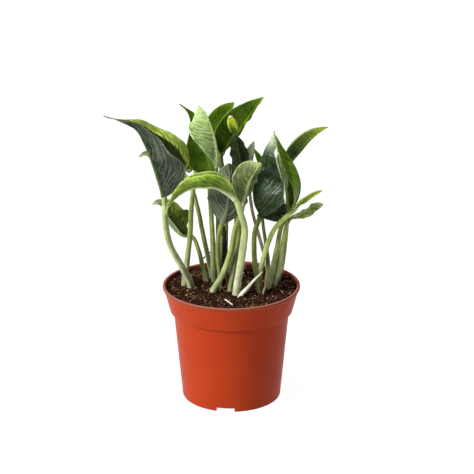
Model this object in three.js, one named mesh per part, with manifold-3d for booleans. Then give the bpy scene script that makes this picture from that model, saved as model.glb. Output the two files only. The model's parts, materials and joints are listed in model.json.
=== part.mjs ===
// A young pothos with waved, folded leaves, in its plastic nursery pot.
// Millimetres. +Z is up, -Y is the front, and the pot's axis is the Z axis, with z = 0 under the foot.
import * as THREE from 'three';
import { mergeVertices } from 'three/addons/utils/BufferGeometryUtils.js';
import Module from 'manifold-3d';

const wasm = await Module();
wasm.setup();

// Driving sizes of the pot
const POT_HEIGHT = 90;
const RIM_RADIUS = 52.5;
const WALL = 1.2;
const FOOT_RADIUS = 38;
const STEP_HEIGHT = 69.9;
const STEP_RADIUS = 44.3;
const COLLAR_FOOT_RADIUS = 46.9;
const COLLAR_TOP_RADIUS = 51.4;
const LIP_HEIGHT = 2;
const FLOOR_RISE = 3;
const PAD_RADIUS = 14;
const FOOT_RING_WIDTH = 4;
const POT_SEGMENTS = 40;
const NOTCH_WIDTH = 14;
const NOTCH_HEIGHT = 3.2;
const NOTCH_COUNT = 3;
const NOTCH_FIRST_TURN = -7;
const DRAIN_LENGTH = 8;

// Driving sizes of the soil
const SOIL_GAP = 0.35;
const SOIL_LEVEL = 87;
const SOIL_MOUND = 1.4;
const SOIL_BUMP = 0.55;
const SOIL_RINGS = [9, 18, 27, 35, 42];
const FOOT_LEVEL = 89;
const SUNK_DEPTH = 16;
const HOLE_CLEARANCE = 0.4;
const HOLE_SIDES = 8;

// Driving sizes that all leaves share
const BLADE = 0.8;
const JOINT_GAP = 0.3;
const STALK_SIDES = 6;
const STALK_STEP = 9;
const TIP_HALF_WIDTH = 0.45;
const RIB_SHARE = 0.9;
const RIB_FADE = 1.5;
const LOBE_ROUND = 2.2;
const STUB_STEP = 4;
const KNOBS_FROM = 0.4;
const KNOB_SPACING = 40;

const GREEN = { bright: 0x5f8f2a, mid: 0x44722a, dark: 0x2c4f24, grey: 0x5c6e58, teal: 0x35564c,
  pale: 0x9db783, yellow: 0x9bb436, stalk: 0x86a35a };

// Each leaf has a route of hand-placed points: the stalk rises from the soil and the blade's midrib
// goes on from it. The blade has a left and a right half, as seen by someone who looks at the front
// with the tip up. turn is the angle of a half out of the picture's plane, towards the viewer, at the
// base, middle and tip: 0 is flat to the viewer, and past 90 the half is folded over to the other
// side. curl bends it further on its way out to the margin. wave is the height of the margin's waves.
// outline says how far along the midrib a half is widest, and how blunt its base is: 0.3 is round,
// 1 is straight and 2 is drawn in. lobe is how far the base of a half reaches back past the stalk's end.
const LEAVES = {
  big_left: {
    stalk: [[-31, -2, 89], [-36.5, -8, 105], [-46, -14, 127], [-48.8, -18, 145], [-49, -20, 159]],
    midrib: [[-49.4, -20, 166], [-53.2, -21, 181], [-57.8, -21, 195], [-62.6, -21, 207],
      [-68.6, -22, 218], [-77.5, -24, 223.5], [-92, -26, 229]],
    thick: [2.6, 2.2], rings: 16, columns: 4, outline: [0.28, 0.85],
    left: { width: 31, turn: [206, 213, 216, 209, 211, 224, 224, 195, 190], curl: 4, wave: 0.6,
      waves: 4, outline: [0.28, 1] },
    right: { width: 24.4, turn: [40, 26, 18, 34, 30, 24, 32, 0, 0], curl: 12, wave: 0.8, waves: 5,
      outline: [0.26, 0.9] },
    colour: GREEN.grey,
  },
  arching: {
    stalk: [[4, -18, 89], [6, -24, 108], [9, -28, 129], [10, -31, 146], [7, -33, 158]],
    midrib: [[3, -34, 169], [-4, -35, 175], [-12, -36, 179], [-20, -36, 179], [-28, -35, 178],
      [-34.5, -34, 174.5], [-41.5, -33, 168.5], [-46.5, -32, 162], [-48, -31, 156]],
    thick: [3, 2.5], rings: 15, columns: 3, outline: [0.34, 1],
    left: { width: 11, turn: [215, 215, 205], curl: -20, wave: 0.3, waves: 3 },
    right: { width: 14, turn: [75, 80, 60], curl: -95, wave: 0.3, waves: 3 },
    colour: GREEN.bright,
  },
  pale_hood: {
    stalk: [[-9, 16, 89], [-10, 8, 115], [-10, 8, 136], [-10, 4, 156], [-11, 0, 171]],
    midrib: [[-11, -3, 184], [-11, -5, 193], [-12, -8, 206], [-15, -9, 217], [-19, -8, 227],
      [-24, -6, 232]],
    thick: [2.1, 1.6], rings: 11, columns: 4, outline: [0.7, 1.1],
    left: { width: 16.8, turn: [40, 26, 5], curl: -38, wave: 0.5, waves: 4 },
    right: { width: 8, turn: [215, 215, 210], curl: 0, wave: 0.3, waves: 2 },
    colour: GREEN.pale,
  },
  hood_back: {
    stalk: [[-14, 10, 89], [-14, 6, 117], [-15, 3, 145], [-16, 0, 165]],
    midrib: [[-16, -1, 175], [-17, 3, 184], [-20, 6, 197], [-23, 8, 210], [-25, 8, 221]],
    thick: [2.4, 1.9], rings: 9, columns: 3, outline: [0.35, 0.5],
    left: { width: 16, turn: [8, 6, 10], curl: 35, wave: 0.5, waves: 2 },
    right: { width: 8, turn: [0, 6, 10], curl: 10, wave: 0.3, waves: 2 },
    colour: GREEN.dark,
  },
  top_broad: {
    stalk: [[-9, 26, 89], [-7, 24, 117], [-7, 24, 150], [-8, 22, 174]],
    midrib: [[-9, 20, 189], [-9, 20, 200], [-6, 20, 212], [-2, 19, 222], [2, 18, 228]],
    thick: [1.9, 1.4], rings: 9, columns: 3, outline: [0.45, 0.8],
    left: { width: 13, turn: [-6, -4, -8], curl: -12, wave: 0.4, waves: 2 },
    right: { width: 7, turn: [20, 20, 20], curl: 10, wave: 0.4, waves: 2 },
    colour: GREEN.mid,
  },
  top_right: {
    stalk: [[-5, 22, 89], [-4, 16, 120], [-4, 16, 152], [-6, 14, 177]],
    midrib: [[-7, 13, 189], [-2, 12, 198], [5, 11, 208], [12, 12, 218], [18, 13, 226], [24, 14, 233]],
    thick: [1.9, 1.4], rings: 12, columns: 3, outline: [0.4, 0.7],
    left: { width: 16, turn: [10, 5, 0], curl: 10, wave: 0.4, waves: 3 },
    right: { width: 8, turn: [82, 78, 66], curl: 8, wave: 1, waves: 4 },
    colour: GREEN.mid,
  },
  top_back: {
    stalk: [[-36, 3, 89], [-34, 1, 106], [-31, 0, 133], [-30, 2, 152]],
    midrib: [[-27, 17, 177], [-26, 25, 191], [-26, 28, 205], [-30, 27, 216], [-39, 25, 225]],
    thick: [2.3, 1.7], rings: 9, columns: 2, outline: [0.3, 0.6],
    left: { width: 10, turn: [15, 15, 10], curl: 10, wave: 0.4, waves: 2, outline: [0.2, 0.4], lobe: 17 },
    right: { width: 7, turn: [0, 0, 10], curl: 0, wave: 0.4, waves: 2, lobe: 10 },
    colour: GREEN.mid,
  },
  twisted: {
    stalk: [[-1, -12, 89], [3, -9, 112], [6, -2, 132], [8, 3, 154], [8, 0, 171]],
    midrib: [[7, -3, 179], [7, -5, 187], [6, -7, 195], [4, -8, 203], [2, -8, 210]],
    thick: [1.9, 1.4], rings: 10, columns: 3, outline: [0.42, 0.35],
    left: { width: 10.5, turn: [-20, -30, -40], curl: -40, wave: 0.6, waves: 3 },
    right: { width: 9, turn: [-20, -25, -40], curl: -40, wave: 0.6, waves: 3 },
    colour: GREEN.dark,
  },
  small_pale: {
    stalk: [[29, 15, 89], [25, 15, 109], [20, 14, 128], [16, 13, 144], [14, 13, 159]],
    midrib: [[13, 12, 176], [13, 12, 185], [15, 11, 192], [17, 10, 200]],
    thick: [1.6, 1.1], rings: 7, columns: 2, outline: [0.4, 0.6],
    left: { width: 6, turn: [10, 10, 10], curl: 20, wave: 0.2, waves: 2 },
    right: { width: 4, turn: [30, 30, 30], curl: 20, wave: 0.2, waves: 2 },
    colour: GREEN.pale,
  },
  crinkled_centre: {
    stalk: [[-14, -15, 89], [-7, -14, 102], [0, -12, 123], [3, -14, 140]],
    midrib: [[7, -19, 152], [9, -22, 162], [12, -25, 174], [16, -27, 185], [22, -28, 194]],
    thick: [2.3, 1.7], rings: 12, columns: 4, outline: [0.62, 1.1],
    left: { width: 14, turn: [-10, -15, -10], curl: -20, wave: 1.1, waves: 4 },
    right: { width: 5.5, turn: [-15, -20, -15], curl: -40, wave: 1.3, waves: 5 },
    colour: GREEN.grey,
  },
  ruffled_back: {
    stalk: [[-8, 7, 89], [-10, 1, 110], [-10, -2, 127]],
    midrib: [[-7, -5, 141], [-4, -10, 151], [-2, -13, 163], [-1, -14, 173], [-1, -14, 181],
      [-2, -13.5, 190]],
    thick: [2.2, 1.8], rings: 12, columns: 4, outline: [0.4, 0.4],
    left: { width: 17.5, turn: [-20, -15, -15], curl: -25, wave: 1, waves: 4, lobe: 3 },
    right: { width: 15, turn: [-20, -15, -15], curl: -45, wave: 1, waves: 4, lobe: 7 },
    colour: GREEN.grey,
  },
  teal_cup: {
    stalk: [[22, -12, 89], [19, -15, 104], [17, -16, 123], [18, -14, 139]],
    midrib: [[21, -11, 147], [17.3, -12, 158], [16.2, -13, 172], [18, -14, 186], [22.5, -13, 194],
      [25, -11, 200], [28.5, -9, 206], [31.5, -7, 213]],
    thick: [2.3, 1.8], rings: 14, columns: 4, outline: [0.36, 0.62],
    left: { width: 24, turn: [200, 191, 180, 186, 190], curl: 5, wave: 0.4, waves: 3,
      outline: [0.24, 0.5], lobe: 27 },
    right: { width: 28.5, turn: [40, 40, 58, 66, 56, 42, 100, 70, 20], curl: -65, wave: 0.4, waves: 3,
      outline: [0.36, 0.7], lobe: 9 },
    colour: GREEN.teal,
  },
  upright_right: {
    stalk: [[29, -8, 89], [31, -6, 103], [35, -2, 122], [38, 2, 136]],
    midrib: [[44, 2, 148], [49, 3, 155], [52, 4, 167], [49, 5, 179], [44, 6, 188], [38, 6, 197],
      [33, 5, 206]],
    thick: [2.2, 1.7], rings: 13, columns: 3, outline: [0.4, 0.7],
    left: { width: 14, turn: [68, 48, 40], curl: 18, wave: 0.4, waves: 3 },
    right: { width: 12, turn: [165, 165, 165], curl: -10, wave: 0.4, waves: 3 },
    colour: GREEN.mid,
  },
  far_right: {
    stalk: [[37, 15, 89], [39.5, 18.5, 101], [42, 21, 122], [43, 21, 142], [43, 20, 163]],
    midrib: [[42, 19, 175], [47, 18, 183], [52.5, 17, 190], [58.5, 16, 198], [64.7, 15, 204.5],
      [72, 14, 210]],
    thick: [1.9, 1.4], rings: 10, columns: 2, outline: [0.4, 0.6],
    left: { width: 12, turn: [25, 20, 20], curl: 15, wave: 0.3, waves: 2 },
    right: { width: 10, turn: [205, 200, 195], curl: 0, wave: 0.3, waves: 2 },
    colour: GREEN.dark,
  },
  bright_new: {
    stalk: [[22, 7, 89], [23, 0, 105], [27, -3, 121], [33, -6, 137], [40, -8, 146]],
    midrib: [[47, -8, 152], [51, -8, 157], [57, -7, 161], [62, -6, 164], [68, -4, 166]],
    thick: [2.1, 1.8], rings: 9, columns: 2, outline: [0.45, 0.6],
    left: { width: 4, turn: [40, 30, 20], curl: 30, wave: 0.2, waves: 2 },
    right: { width: 3.5, turn: [60, 50, 40], curl: 30, wave: 0.2, waves: 2 },
    colour: GREEN.yellow,
  },
  crumpled: {
    stalk: [[34, 9, 89], [37, 8, 109], [40, 6, 126], [42, 2, 137]],
    midrib: [[45, -1, 143], [50, -2, 146], [56, -2, 149], [62, -2, 153], [69, -1, 154]],
    thick: [1.9, 1.3], rings: 10, columns: 2, outline: [0.55, 0.8],
    left: { width: 4.5, turn: [30, 30, 20], curl: 30, wave: 0.7, waves: 4 },
    right: { width: 5, turn: [30, 20, 20], curl: -30, wave: 0.9, waves: 4 },
    colour: GREEN.mid,
  },
  small_curl: {
    stalk: [[33, -6, 89], [36.5, -6, 105], [39, -4.5, 122], [41.5, -2, 140], [42, -1.6, 156]],
    midrib: [[41, -1.8, 168], [39.5, -2.4, 176], [37, -3, 183], [35.8, -3, 189], [34.8, -3, 195]],
    thick: [1.5, 1.1], rings: 9, columns: 2, outline: [0.45, 0.5],
    left: { width: 4, turn: [10, 10, 10], curl: 30, wave: 0.7, waves: 4 },
    right: { width: 4.5, turn: [30, 30, 30], curl: 80, wave: 0.6, waves: 3 },
    colour: GREEN.pale,
  },
  spiky: {
    stalk: [[27, 2, 89], [28, 2, 107], [26, 5, 122], [24, 6, 136], [23, 6, 151]],
    midrib: [[25, 5, 168], [24, 4, 178], [22, 2, 187], [17, 0, 197]],
    thick: [1.6, 1.1], rings: 7, columns: 2, outline: [0.4, 0.6],
    left: { width: 4, turn: [20, 20, 20], curl: 20, wave: 0.3, waves: 2 },
    right: { width: 4, turn: [20, 20, 20], curl: 20, wave: 0.3, waves: 2 },
    colour: GREEN.dark,
  },
  low_cup: {
    stalk: [[-19, 7, 89], [-22, 8, 100], [-25, 8, 114]],
    midrib: [[-31, 8, 126], [-37, 7, 127], [-42, 6, 131], [-46, 5, 136], [-49, 3, 143], [-51, 2, 150],
      [-54, 1, 153.5], [-59.5, 1, 153.5]],
    thick: [2, 1.5], rings: 12, columns: 4, outline: [0.4, 0.75],
    left: { width: 5, turn: [100, 120, 80], curl: 20, wave: 0.3, waves: 3 },
    right: { width: 18.5, turn: [-25, -25, -10], curl: 30, wave: 0.5, waves: 3 },
    colour: GREEN.dark,
  },
  far_left: {
    stalk: [[-15, 19, 89], [-18, 14, 106], [-22, 17, 125], [-26, 22, 144]],
    midrib: [[-31, 27, 158], [-39, 30, 165], [-49, 32, 174], [-59, 32, 183], [-65, 31, 185],
      [-71, 30, 182]],
    thick: [2.1, 1.6], rings: 9, columns: 2, outline: [0.35, 0.6],
    left: { width: 9, turn: [20, 20, 20], curl: 20, wave: 0.4, waves: 2 },
    right: { width: 9, turn: [20, 20, 20], curl: 20, wave: 0.4, waves: 2 },
    colour: GREEN.mid,
  },
};

// The rolled new leaf is a spindle on a stalk of its own.
const BUD = {
  stalk: [[-1, 12, 89], [3, 10, 122], [4, 8, 154], [5, 4, 182]],
  axis: [[3, -3, 210], [2.2, -4, 213], [0.6, -4.5, 218], [-0.7, -5, 223.5]],
  thick: [1.8, 1.2], radius: 3.9, tip: 0.8, fullness: 0.7, rings: 8, sides: 8,
};

// Tapered stubs: pale sheaths at the foot of the stalks, a dried stem and a thin twig.
const STUBS = {
  sheath_front: { route: [[7, -23.5, 89], [12, -23, 95], [17.5, -22, 101.5], [23.4, -21, 107.5]],
    thick: [2.9, 0.5], colour: 0xb7c59a },
  sheath_left: { route: [[-9, -12, 89], [-8, -9, 95], [-6, -5, 101]], thick: [1.6, 0.5],
    colour: 0xa9b88c },
  sheath_right: { route: [[24, -17, 89], [26, -16, 95], [27, -14, 103]], thick: [1.6, 0.5],
    colour: 0xc2a58c },
  dried_stem: { route: [[-2, 3, 89], [-5, 3, 100], [-5, 4, 112], [-6, 5, 134]],
    thick: [1.1, 0.8], knobs: 0.4, colour: 0x4a3527 },
  dark_twig: { route: [[-25, 35, 89], [-23.4, 34.6, 96], [-14, 33, 106]], thick: [0.5, 0.35],
    colour: 0x33251d },
};

const object = new THREE.Group();
const up = new THREE.Vector3(0, 0, 1);
const toViewer = new THREE.Vector3(0, -1, 0);

function addMesh(name, geometry, colour, roughness = 0.5) {
  const material = new THREE.MeshStandardMaterial({ color: colour, roughness, metalness: 0 });
  const mesh = new THREE.Mesh(geometry, material);
  mesh.name = name;
  object.add(mesh);
}

// A closed mesh from triangles of shared points, turned outwards
function closedGeometry(points, faces) {
  let volume = 0;
  for (const [a, b, c] of faces) {
    volume += points[a].dot(new THREE.Vector3().crossVectors(points[b], points[c]));
  }
  const index = faces.flatMap(([a, b, c]) => (volume > 0 ? [a, b, c] : [a, c, b]));
  const geometry = new THREE.BufferGeometry();
  const positions = new Float32Array(points.flatMap((point) => point.toArray()));
  geometry.setAttribute('position', new THREE.BufferAttribute(positions, 3));
  geometry.setIndex(index);
  return geometry;
}

// Booleans: a mesh with shared vertices becomes a solid, and comes back
function toSolid(geometry) {
  const bare = geometry.clone();
  bare.deleteAttribute('normal');
  bare.deleteAttribute('uv');
  const merged = mergeVertices(bare, 1e-4);
  const vertProperties = new Float32Array(merged.attributes.position.array);
  const triVerts = new Uint32Array(merged.index.array);
  return new wasm.Manifold(new wasm.Mesh({ numProp: 3, vertProperties, triVerts }));
}

function fromSolid(solid) {
  const mesh = solid.getMesh();
  const geometry = new THREE.BufferGeometry();
  geometry.setAttribute('position', new THREE.BufferAttribute(new Float32Array(mesh.vertProperties), 3));
  geometry.setIndex(new THREE.BufferAttribute(new Uint32Array(mesh.triVerts), 1));
  return geometry;
}

// A smooth route through its points: a cubic between neighbours, measured along their chords
function makeRoute(list) {
  const points = list.map((point) => new THREE.Vector3(...point));
  const marks = [0];
  for (let i = 1; i < points.length; i += 1) {
    marks.push(marks[i - 1] + points[i].distanceTo(points[i - 1]));
  }
  const chord = (i) => points[i + 1].clone().sub(points[i]).divideScalar(marks[i + 1] - marks[i]);
  const slopes = points.map((_, i) => {
    if (i === 0) return chord(0);
    if (i === points.length - 1) return chord(i - 1);
    const before = marks[i] - marks[i - 1];
    const after = marks[i + 1] - marks[i];
    const slope = chord(i).multiplyScalar(before).add(chord(i - 1).multiplyScalar(after));
    return slope.divideScalar(before + after);
  });
  const at = (distance) => {
    let i = 0;
    while (i < points.length - 2 && distance > marks[i + 1]) i += 1;
    const span = marks[i + 1] - marks[i];
    const t = (distance - marks[i]) / span;
    const place = new THREE.Vector3();
    place.addScaledVector(points[i], 2 * t ** 3 - 3 * t ** 2 + 1);
    place.addScaledVector(slopes[i], (t ** 3 - 2 * t ** 2 + t) * span);
    place.addScaledVector(points[i + 1], -2 * t ** 3 + 3 * t ** 2);
    place.addScaledVector(slopes[i + 1], (t ** 3 - t ** 2) * span);
    return place;
  };
  const tangent = (distance) => {
    const step = 0.05;
    const from = Math.max(0, distance - step);
    const to = Math.min(marks[marks.length - 1], distance + step);
    return at(to).sub(at(from)).normalize();
  };
  return { at, tangent, marks, length: marks[marks.length - 1] };
}

// side lies across the route in the picture's plane, front points to the viewer
function frameAt(route, distance) {
  const along = route.tangent(distance);
  const side = new THREE.Vector3().crossVectors(along, toViewer).normalize();
  const front = new THREE.Vector3().crossVectors(side, along);
  return { place: route.at(distance), along, side, front };
}

function between(keys, u) {
  const scaled = u * (keys.length - 1);
  const i = Math.min(keys.length - 2, Math.floor(scaled));
  return keys[i] + (keys[i + 1] - keys[i]) * (scaled - i);
}

// A tube of straight-sided rings along part of a route, closed at both ends
function tube(route, from, to, radiusAt, sides, steps) {
  const points = [];
  const faces = [];
  for (let i = 0; i <= steps; i += 1) {
    const u = i / steps;
    const { place, side, front } = frameAt(route, from + (to - from) * u);
    for (let j = 0; j < sides; j += 1) {
      const angle = (2 * Math.PI * j) / sides;
      const point = place.clone();
      point.addScaledVector(side, radiusAt(u) * Math.cos(angle));
      point.addScaledVector(front, radiusAt(u) * Math.sin(angle));
      points.push(point);
    }
  }
  for (let i = 0; i < steps; i += 1) {
    for (let j = 0; j < sides; j += 1) {
      const a = i * sides + j;
      const b = i * sides + ((j + 1) % sides);
      faces.push([a, b, b + sides], [a, b + sides, a + sides]);
    }
  }
  const last = steps * sides;
  for (let j = 1; j < sides - 1; j += 1) {
    faces.push([0, j + 1, j], [last, last + j, last + j + 1]);
  }
  return closedGeometry(points, faces);
}

// The grid of a blade's middle surface: rings along the midrib, columns from margin to margin
function bladeGrid(leaf, route, start) {
  const grid = [];
  for (let i = 0; i <= leaf.rings; i += 1) {
    const u = i / leaf.rings;
    const { place, along, side, front } = frameAt(route, start + (route.length - start) * u);
    const halfRow = (half, sign) => {
      const [widest, blunt] = half.outline ?? leaf.outline;
      const swell = (u / widest) ** blunt * ((1 - u) / (1 - widest)) ** (blunt * (1 / widest - 1));
      const floor = leaf.thick[1] * 0.8 * (1 - u) + TIP_HALF_WIDTH * u;
      const width = Math.max(half.width * swell, floor);
      const turn = THREE.MathUtils.degToRad(between(half.turn, u));
      const curl = THREE.MathUtils.degToRad(half.curl);
      const row = [];
      const point = place.clone();
      for (let j = 1; j <= leaf.columns; j += 1) {
        const angle = turn + curl * ((j - 0.5) / leaf.columns);
        point.addScaledVector(side, (sign * Math.cos(angle) * width) / leaf.columns);
        point.addScaledVector(front, (Math.sin(angle) * width) / leaf.columns);
        const s = j / leaf.columns;
        const lobe = (half.lobe ?? 0) * Math.sin(LOBE_ROUND * s) * swell * (1 - u) ** 3;
        const lift = half.wave * s * s * Math.sin(Math.PI * u) * Math.sin(2 * Math.PI * half.waves * u);
        const waved = point.clone();
        waved.addScaledVector(side, -sign * Math.sin(angle) * lift);
        waved.addScaledVector(front, Math.cos(angle) * lift);
        waved.addScaledVector(along, -lobe);
        row.push(waved);
      }
      return row;
    };
    grid.push([...halfRow(leaf.left, -1).reverse(), place, ...halfRow(leaf.right, 1)]);
  }
  return grid;
}

// Both faces of the blade, half its thickness to each side of the grid, with the midrib raised behind
function bladeGeometry(leaf, route, start) {
  const grid = bladeGrid(leaf, route, start);
  const rows = grid.length;
  const across = grid[0].length;
  const points = [[], []];
  for (let i = 0; i < rows; i += 1) {
    for (let j = 0; j < across; j += 1) {
      const along = grid[Math.min(rows - 1, i + 1)][j].clone().sub(grid[Math.max(0, i - 1)][j]);
      const normals = [];
      for (const [a, b] of [[j - 1, j], [j, j + 1]]) {
        if (a < 0 || b >= across) continue;
        const step = grid[i][b].clone().sub(grid[i][a]);
        normals.push(step.cross(along).normalize());
      }
      const normal = normals.reduce((sum, one) => sum.add(one), new THREE.Vector3());
      const spread = normal.length() / normals.length;
      normal.normalize();
      const offset = BLADE / 2 / Math.max(spread, 0.5);
      const isMidrib = j === leaf.columns;
      const rib = isMidrib ? leaf.thick[1] * RIB_SHARE * (1 - i / (rows - 1)) ** RIB_FADE : 0;
      points[0].push(grid[i][j].clone().addScaledVector(normal, offset));
      points[1].push(grid[i][j].clone().addScaledVector(normal, -offset - rib));
    }
  }
  const all = [...points[0], ...points[1]];
  const back = rows * across;
  const faces = [];
  const quad = (a, b, c, d) => faces.push([a, b, c], [a, c, d]);
  for (let i = 0; i < rows - 1; i += 1) {
    for (let j = 0; j < across - 1; j += 1) {
      const a = i * across + j;
      const b = a + 1;
      const c = a + across + 1;
      const d = a + across;
      faces.push([a, b, c], [a, c, d]);
      faces.push([back + a, back + c, back + b], [back + a, back + d, back + c]);
    }
    const left = i * across;
    const right = left + across - 1;
    quad(left, left + across, back + left + across, back + left);
    quad(right, back + right, back + right + across, right + across);
  }
  for (let j = 0; j < across - 1; j += 1) {
    const tip = (rows - 1) * across + j;
    quad(j, back + j, back + j + 1, j + 1);
    quad(tip, tip + 1, back + tip + 1, back + tip);
  }
  return closedGeometry(all, faces);
}

// Every stem that stands in the soil starts straight down in a plain hole
const feet = [];
function sunkRoute(list, radius) {
  const [x, y, z] = list[0];
  feet.push({ x, y, radius });
  return makeRoute([[x, y, z - SUNK_DEPTH], ...list]);
}

function addStalk(name, route, end, thick, colour) {
  const steps = Math.max(5, Math.round(end / STALK_STEP));
  const radiusAt = (u) => thick[0] + (thick[1] - thick[0]) * u;
  addMesh(name, tube(route, 0, end, radiusAt, STALK_SIDES, steps), colour);
}

for (const [name, leaf] of Object.entries(LEAVES)) {
  const route = sunkRoute([...leaf.stalk, ...leaf.midrib], leaf.thick[0]);
  const start = route.marks[leaf.stalk.length + 1];
  addStalk(`stalk_${name}`, route, start - JOINT_GAP - leaf.thick[1] * 0.2, leaf.thick, GREEN.stalk);
  addMesh(`leaf_${name}`, bladeGeometry(leaf, route, start), leaf.colour, 0.4);
}

const budRoute = sunkRoute([...BUD.stalk, ...BUD.axis], BUD.thick[0]);
const budStart = budRoute.marks[BUD.stalk.length + 1];
const budSwell = (u) => Math.sin(Math.PI * (0.06 + 0.9 * u)) ** BUD.fullness;
const budRadius = (u) => BUD.tip + (BUD.radius - BUD.tip) * budSwell(u);
addStalk('stalk_new_leaf', budRoute, budStart - JOINT_GAP, BUD.thick, GREEN.stalk);
addMesh('new_leaf_roll', tube(budRoute, budStart, budRoute.length, budRadius, BUD.sides, BUD.rings),
  GREEN.yellow, 0.4);

for (const [name, stub] of Object.entries(STUBS)) {
  const route = sunkRoute(stub.route, stub.thick[0] + (stub.knobs ?? 0));
  const knob = (u) => (stub.knobs && u > KNOBS_FROM ? stub.knobs * Math.sin(KNOB_SPACING * u) : 0);
  const radiusAt = (u) => stub.thick[0] + (stub.thick[1] - stub.thick[0]) * u + knob(u);
  const steps = Math.round(route.length / STUB_STEP);
  addMesh(name, tube(route, 0, route.length, radiusAt, STALK_SIDES, steps), stub.colour, 0.8);
}

// A body of revolution from a profile of [radius, height] that starts and ends on the axis
function revolve(profile, segments, liftAt = () => 0) {
  const points = [];
  const rings = profile.map(([radius, height]) => {
    const ring = [];
    const count = radius === 0 ? 1 : segments;
    for (let k = 0; k < count; k += 1) {
      const angle = (2 * Math.PI * k) / segments;
      const x = radius * Math.cos(angle);
      const y = radius * Math.sin(angle);
      ring.push(points.length);
      points.push(new THREE.Vector3(x, y, height + liftAt(x, y, height)));
    }
    return ring;
  });
  const faces = [];
  for (let i = 0; i < rings.length - 1; i += 1) {
    for (let k = 0; k < segments; k += 1) {
      const next = (k + 1) % segments;
      const [a, b] = [rings[i], rings[i + 1]];
      if (a.length > 1) faces.push([a[k], a[next], b[next % b.length]]);
      if (b.length > 1) faces.push([a[k % a.length], b[next], b[k]]);
    }
  }
  return closedGeometry(points, faces);
}

const innerStep = STEP_HEIGHT + WALL;
const potProfile = [
  [0, 0],
  [PAD_RADIUS, 0],
  [PAD_RADIUS + 1, FLOOR_RISE],
  [FOOT_RADIUS - FOOT_RING_WIDTH, FLOOR_RISE],
  [FOOT_RADIUS - FOOT_RING_WIDTH + 0.6, 0],
  [FOOT_RADIUS - 0.6, 0],
  [FOOT_RADIUS, 0.8],
  [STEP_RADIUS, STEP_HEIGHT - 0.6],
  [COLLAR_FOOT_RADIUS - 0.4, STEP_HEIGHT - 0.3],
  [COLLAR_FOOT_RADIUS, STEP_HEIGHT + 0.4],
  [COLLAR_TOP_RADIUS, POT_HEIGHT - LIP_HEIGHT - 0.6],
  [RIM_RADIUS - 0.3, POT_HEIGHT - LIP_HEIGHT],
  [RIM_RADIUS, POT_HEIGHT - LIP_HEIGHT + 0.5],
  [RIM_RADIUS - 0.1, POT_HEIGHT - 0.5],
  [RIM_RADIUS - 0.8, POT_HEIGHT],
  [COLLAR_TOP_RADIUS - 0.4, POT_HEIGHT - 0.1],
  [COLLAR_TOP_RADIUS - WALL, POT_HEIGHT - 1.2],
  [COLLAR_FOOT_RADIUS - WALL, innerStep],
  [STEP_RADIUS - WALL, innerStep - 0.8],
  [FOOT_RADIUS - WALL, FLOOR_RISE + WALL + 0.6],
  [FOOT_RADIUS - WALL - 0.8, FLOOR_RISE + WALL],
  [0, FLOOR_RISE + WALL],
];

// Three notches through the foot ring, each with a drain slot in the floor behind it
let pot = toSolid(revolve(potProfile, POT_SEGMENTS));
for (let k = 0; k < NOTCH_COUNT; k += 1) {
  const turn = THREE.MathUtils.degToRad(NOTCH_FIRST_TURN - 90 + (360 / NOTCH_COUNT) * k);
  const notch = new THREE.BoxGeometry(FOOT_RING_WIDTH * 2.5, NOTCH_WIDTH, NOTCH_HEIGHT * 2);
  notch.translate(FOOT_RADIUS, 0, 0).rotateZ(turn);
  const drain = new THREE.BoxGeometry(DRAIN_LENGTH, NOTCH_WIDTH * 0.6, 4 * WALL);
  drain.translate(FOOT_RADIUS - FOOT_RING_WIDTH - DRAIN_LENGTH, 0, FLOOR_RISE + WALL / 2).rotateZ(turn);
  pot = pot.subtract(toSolid(notch)).subtract(toSolid(drain));
}
addMesh('pot', fromSolid(pot), 0xb8442a, 0.45);

// The soil follows the inside of the pot, with a low mound and small bumps on top
const soilLift = (x, y, height) => {
  if (height < SOIL_LEVEL - 0.01) return 0;
  const reach = Math.hypot(x, y) / COLLAR_TOP_RADIUS;
  const bump = Math.sin(0.31 * x + 1.3) * Math.cos(0.27 * y - 0.4) + Math.sin(0.19 * x - 0.23 * y);
  return SOIL_MOUND * (1 - reach * reach) + SOIL_BUMP * bump * (1 - reach ** 6);
};
const collarTaper = (COLLAR_TOP_RADIUS - COLLAR_FOOT_RADIUS) / (POT_HEIGHT - LIP_HEIGHT - STEP_HEIGHT);
const soilTopRadius = COLLAR_FOOT_RADIUS - WALL - SOIL_GAP + collarTaper * (SOIL_LEVEL - innerStep) - 0.2;
const soilProfile = [
  [0, FLOOR_RISE + WALL + SOIL_GAP],
  [FOOT_RADIUS - WALL - 0.8 - SOIL_GAP, FLOOR_RISE + WALL + SOIL_GAP],
  [FOOT_RADIUS - WALL - SOIL_GAP, FLOOR_RISE + WALL + 0.6 + SOIL_GAP],
  [STEP_RADIUS - WALL - SOIL_GAP, innerStep - 0.8 + SOIL_GAP],
  [COLLAR_FOOT_RADIUS - WALL - SOIL_GAP - 0.1, innerStep + SOIL_GAP],
  [soilTopRadius, SOIL_LEVEL - 0.5],
  [soilTopRadius - 0.6, SOIL_LEVEL],
  ...SOIL_RINGS.toReversed().map((radius) => [radius, SOIL_LEVEL]),
  [0, SOIL_LEVEL],
];
let soil = toSolid(revolve(soilProfile, POT_SEGMENTS, soilLift));
for (const foot of feet) {
  const radius = (foot.radius + HOLE_CLEARANCE) / Math.cos(Math.PI / HOLE_SIDES);
  const bottom = FOOT_LEVEL - SUNK_DEPTH - HOLE_CLEARANCE;
  const hole = new THREE.CylinderGeometry(radius, radius, SUNK_DEPTH * 2, HOLE_SIDES);
  hole.rotateX(Math.PI / 2).translate(foot.x, foot.y, bottom + SUNK_DEPTH);
  soil = soil.subtract(toSolid(hole));
}
addMesh('soil', fromSolid(soil), 0x3b2419, 0.95);

export default object;
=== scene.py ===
# %% [markdown]
# # A young pothos in its nursery pot
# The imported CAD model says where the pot, the soil and every stalk and leaf are. This notebook
# loads that model as a fixed frame and builds the finished plant around it: finer blades with veins
# and puckers, round grooved stalks, loose potting mix and a moulded plastic pot. Each finished piece
# stays where its plain solid is.

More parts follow.
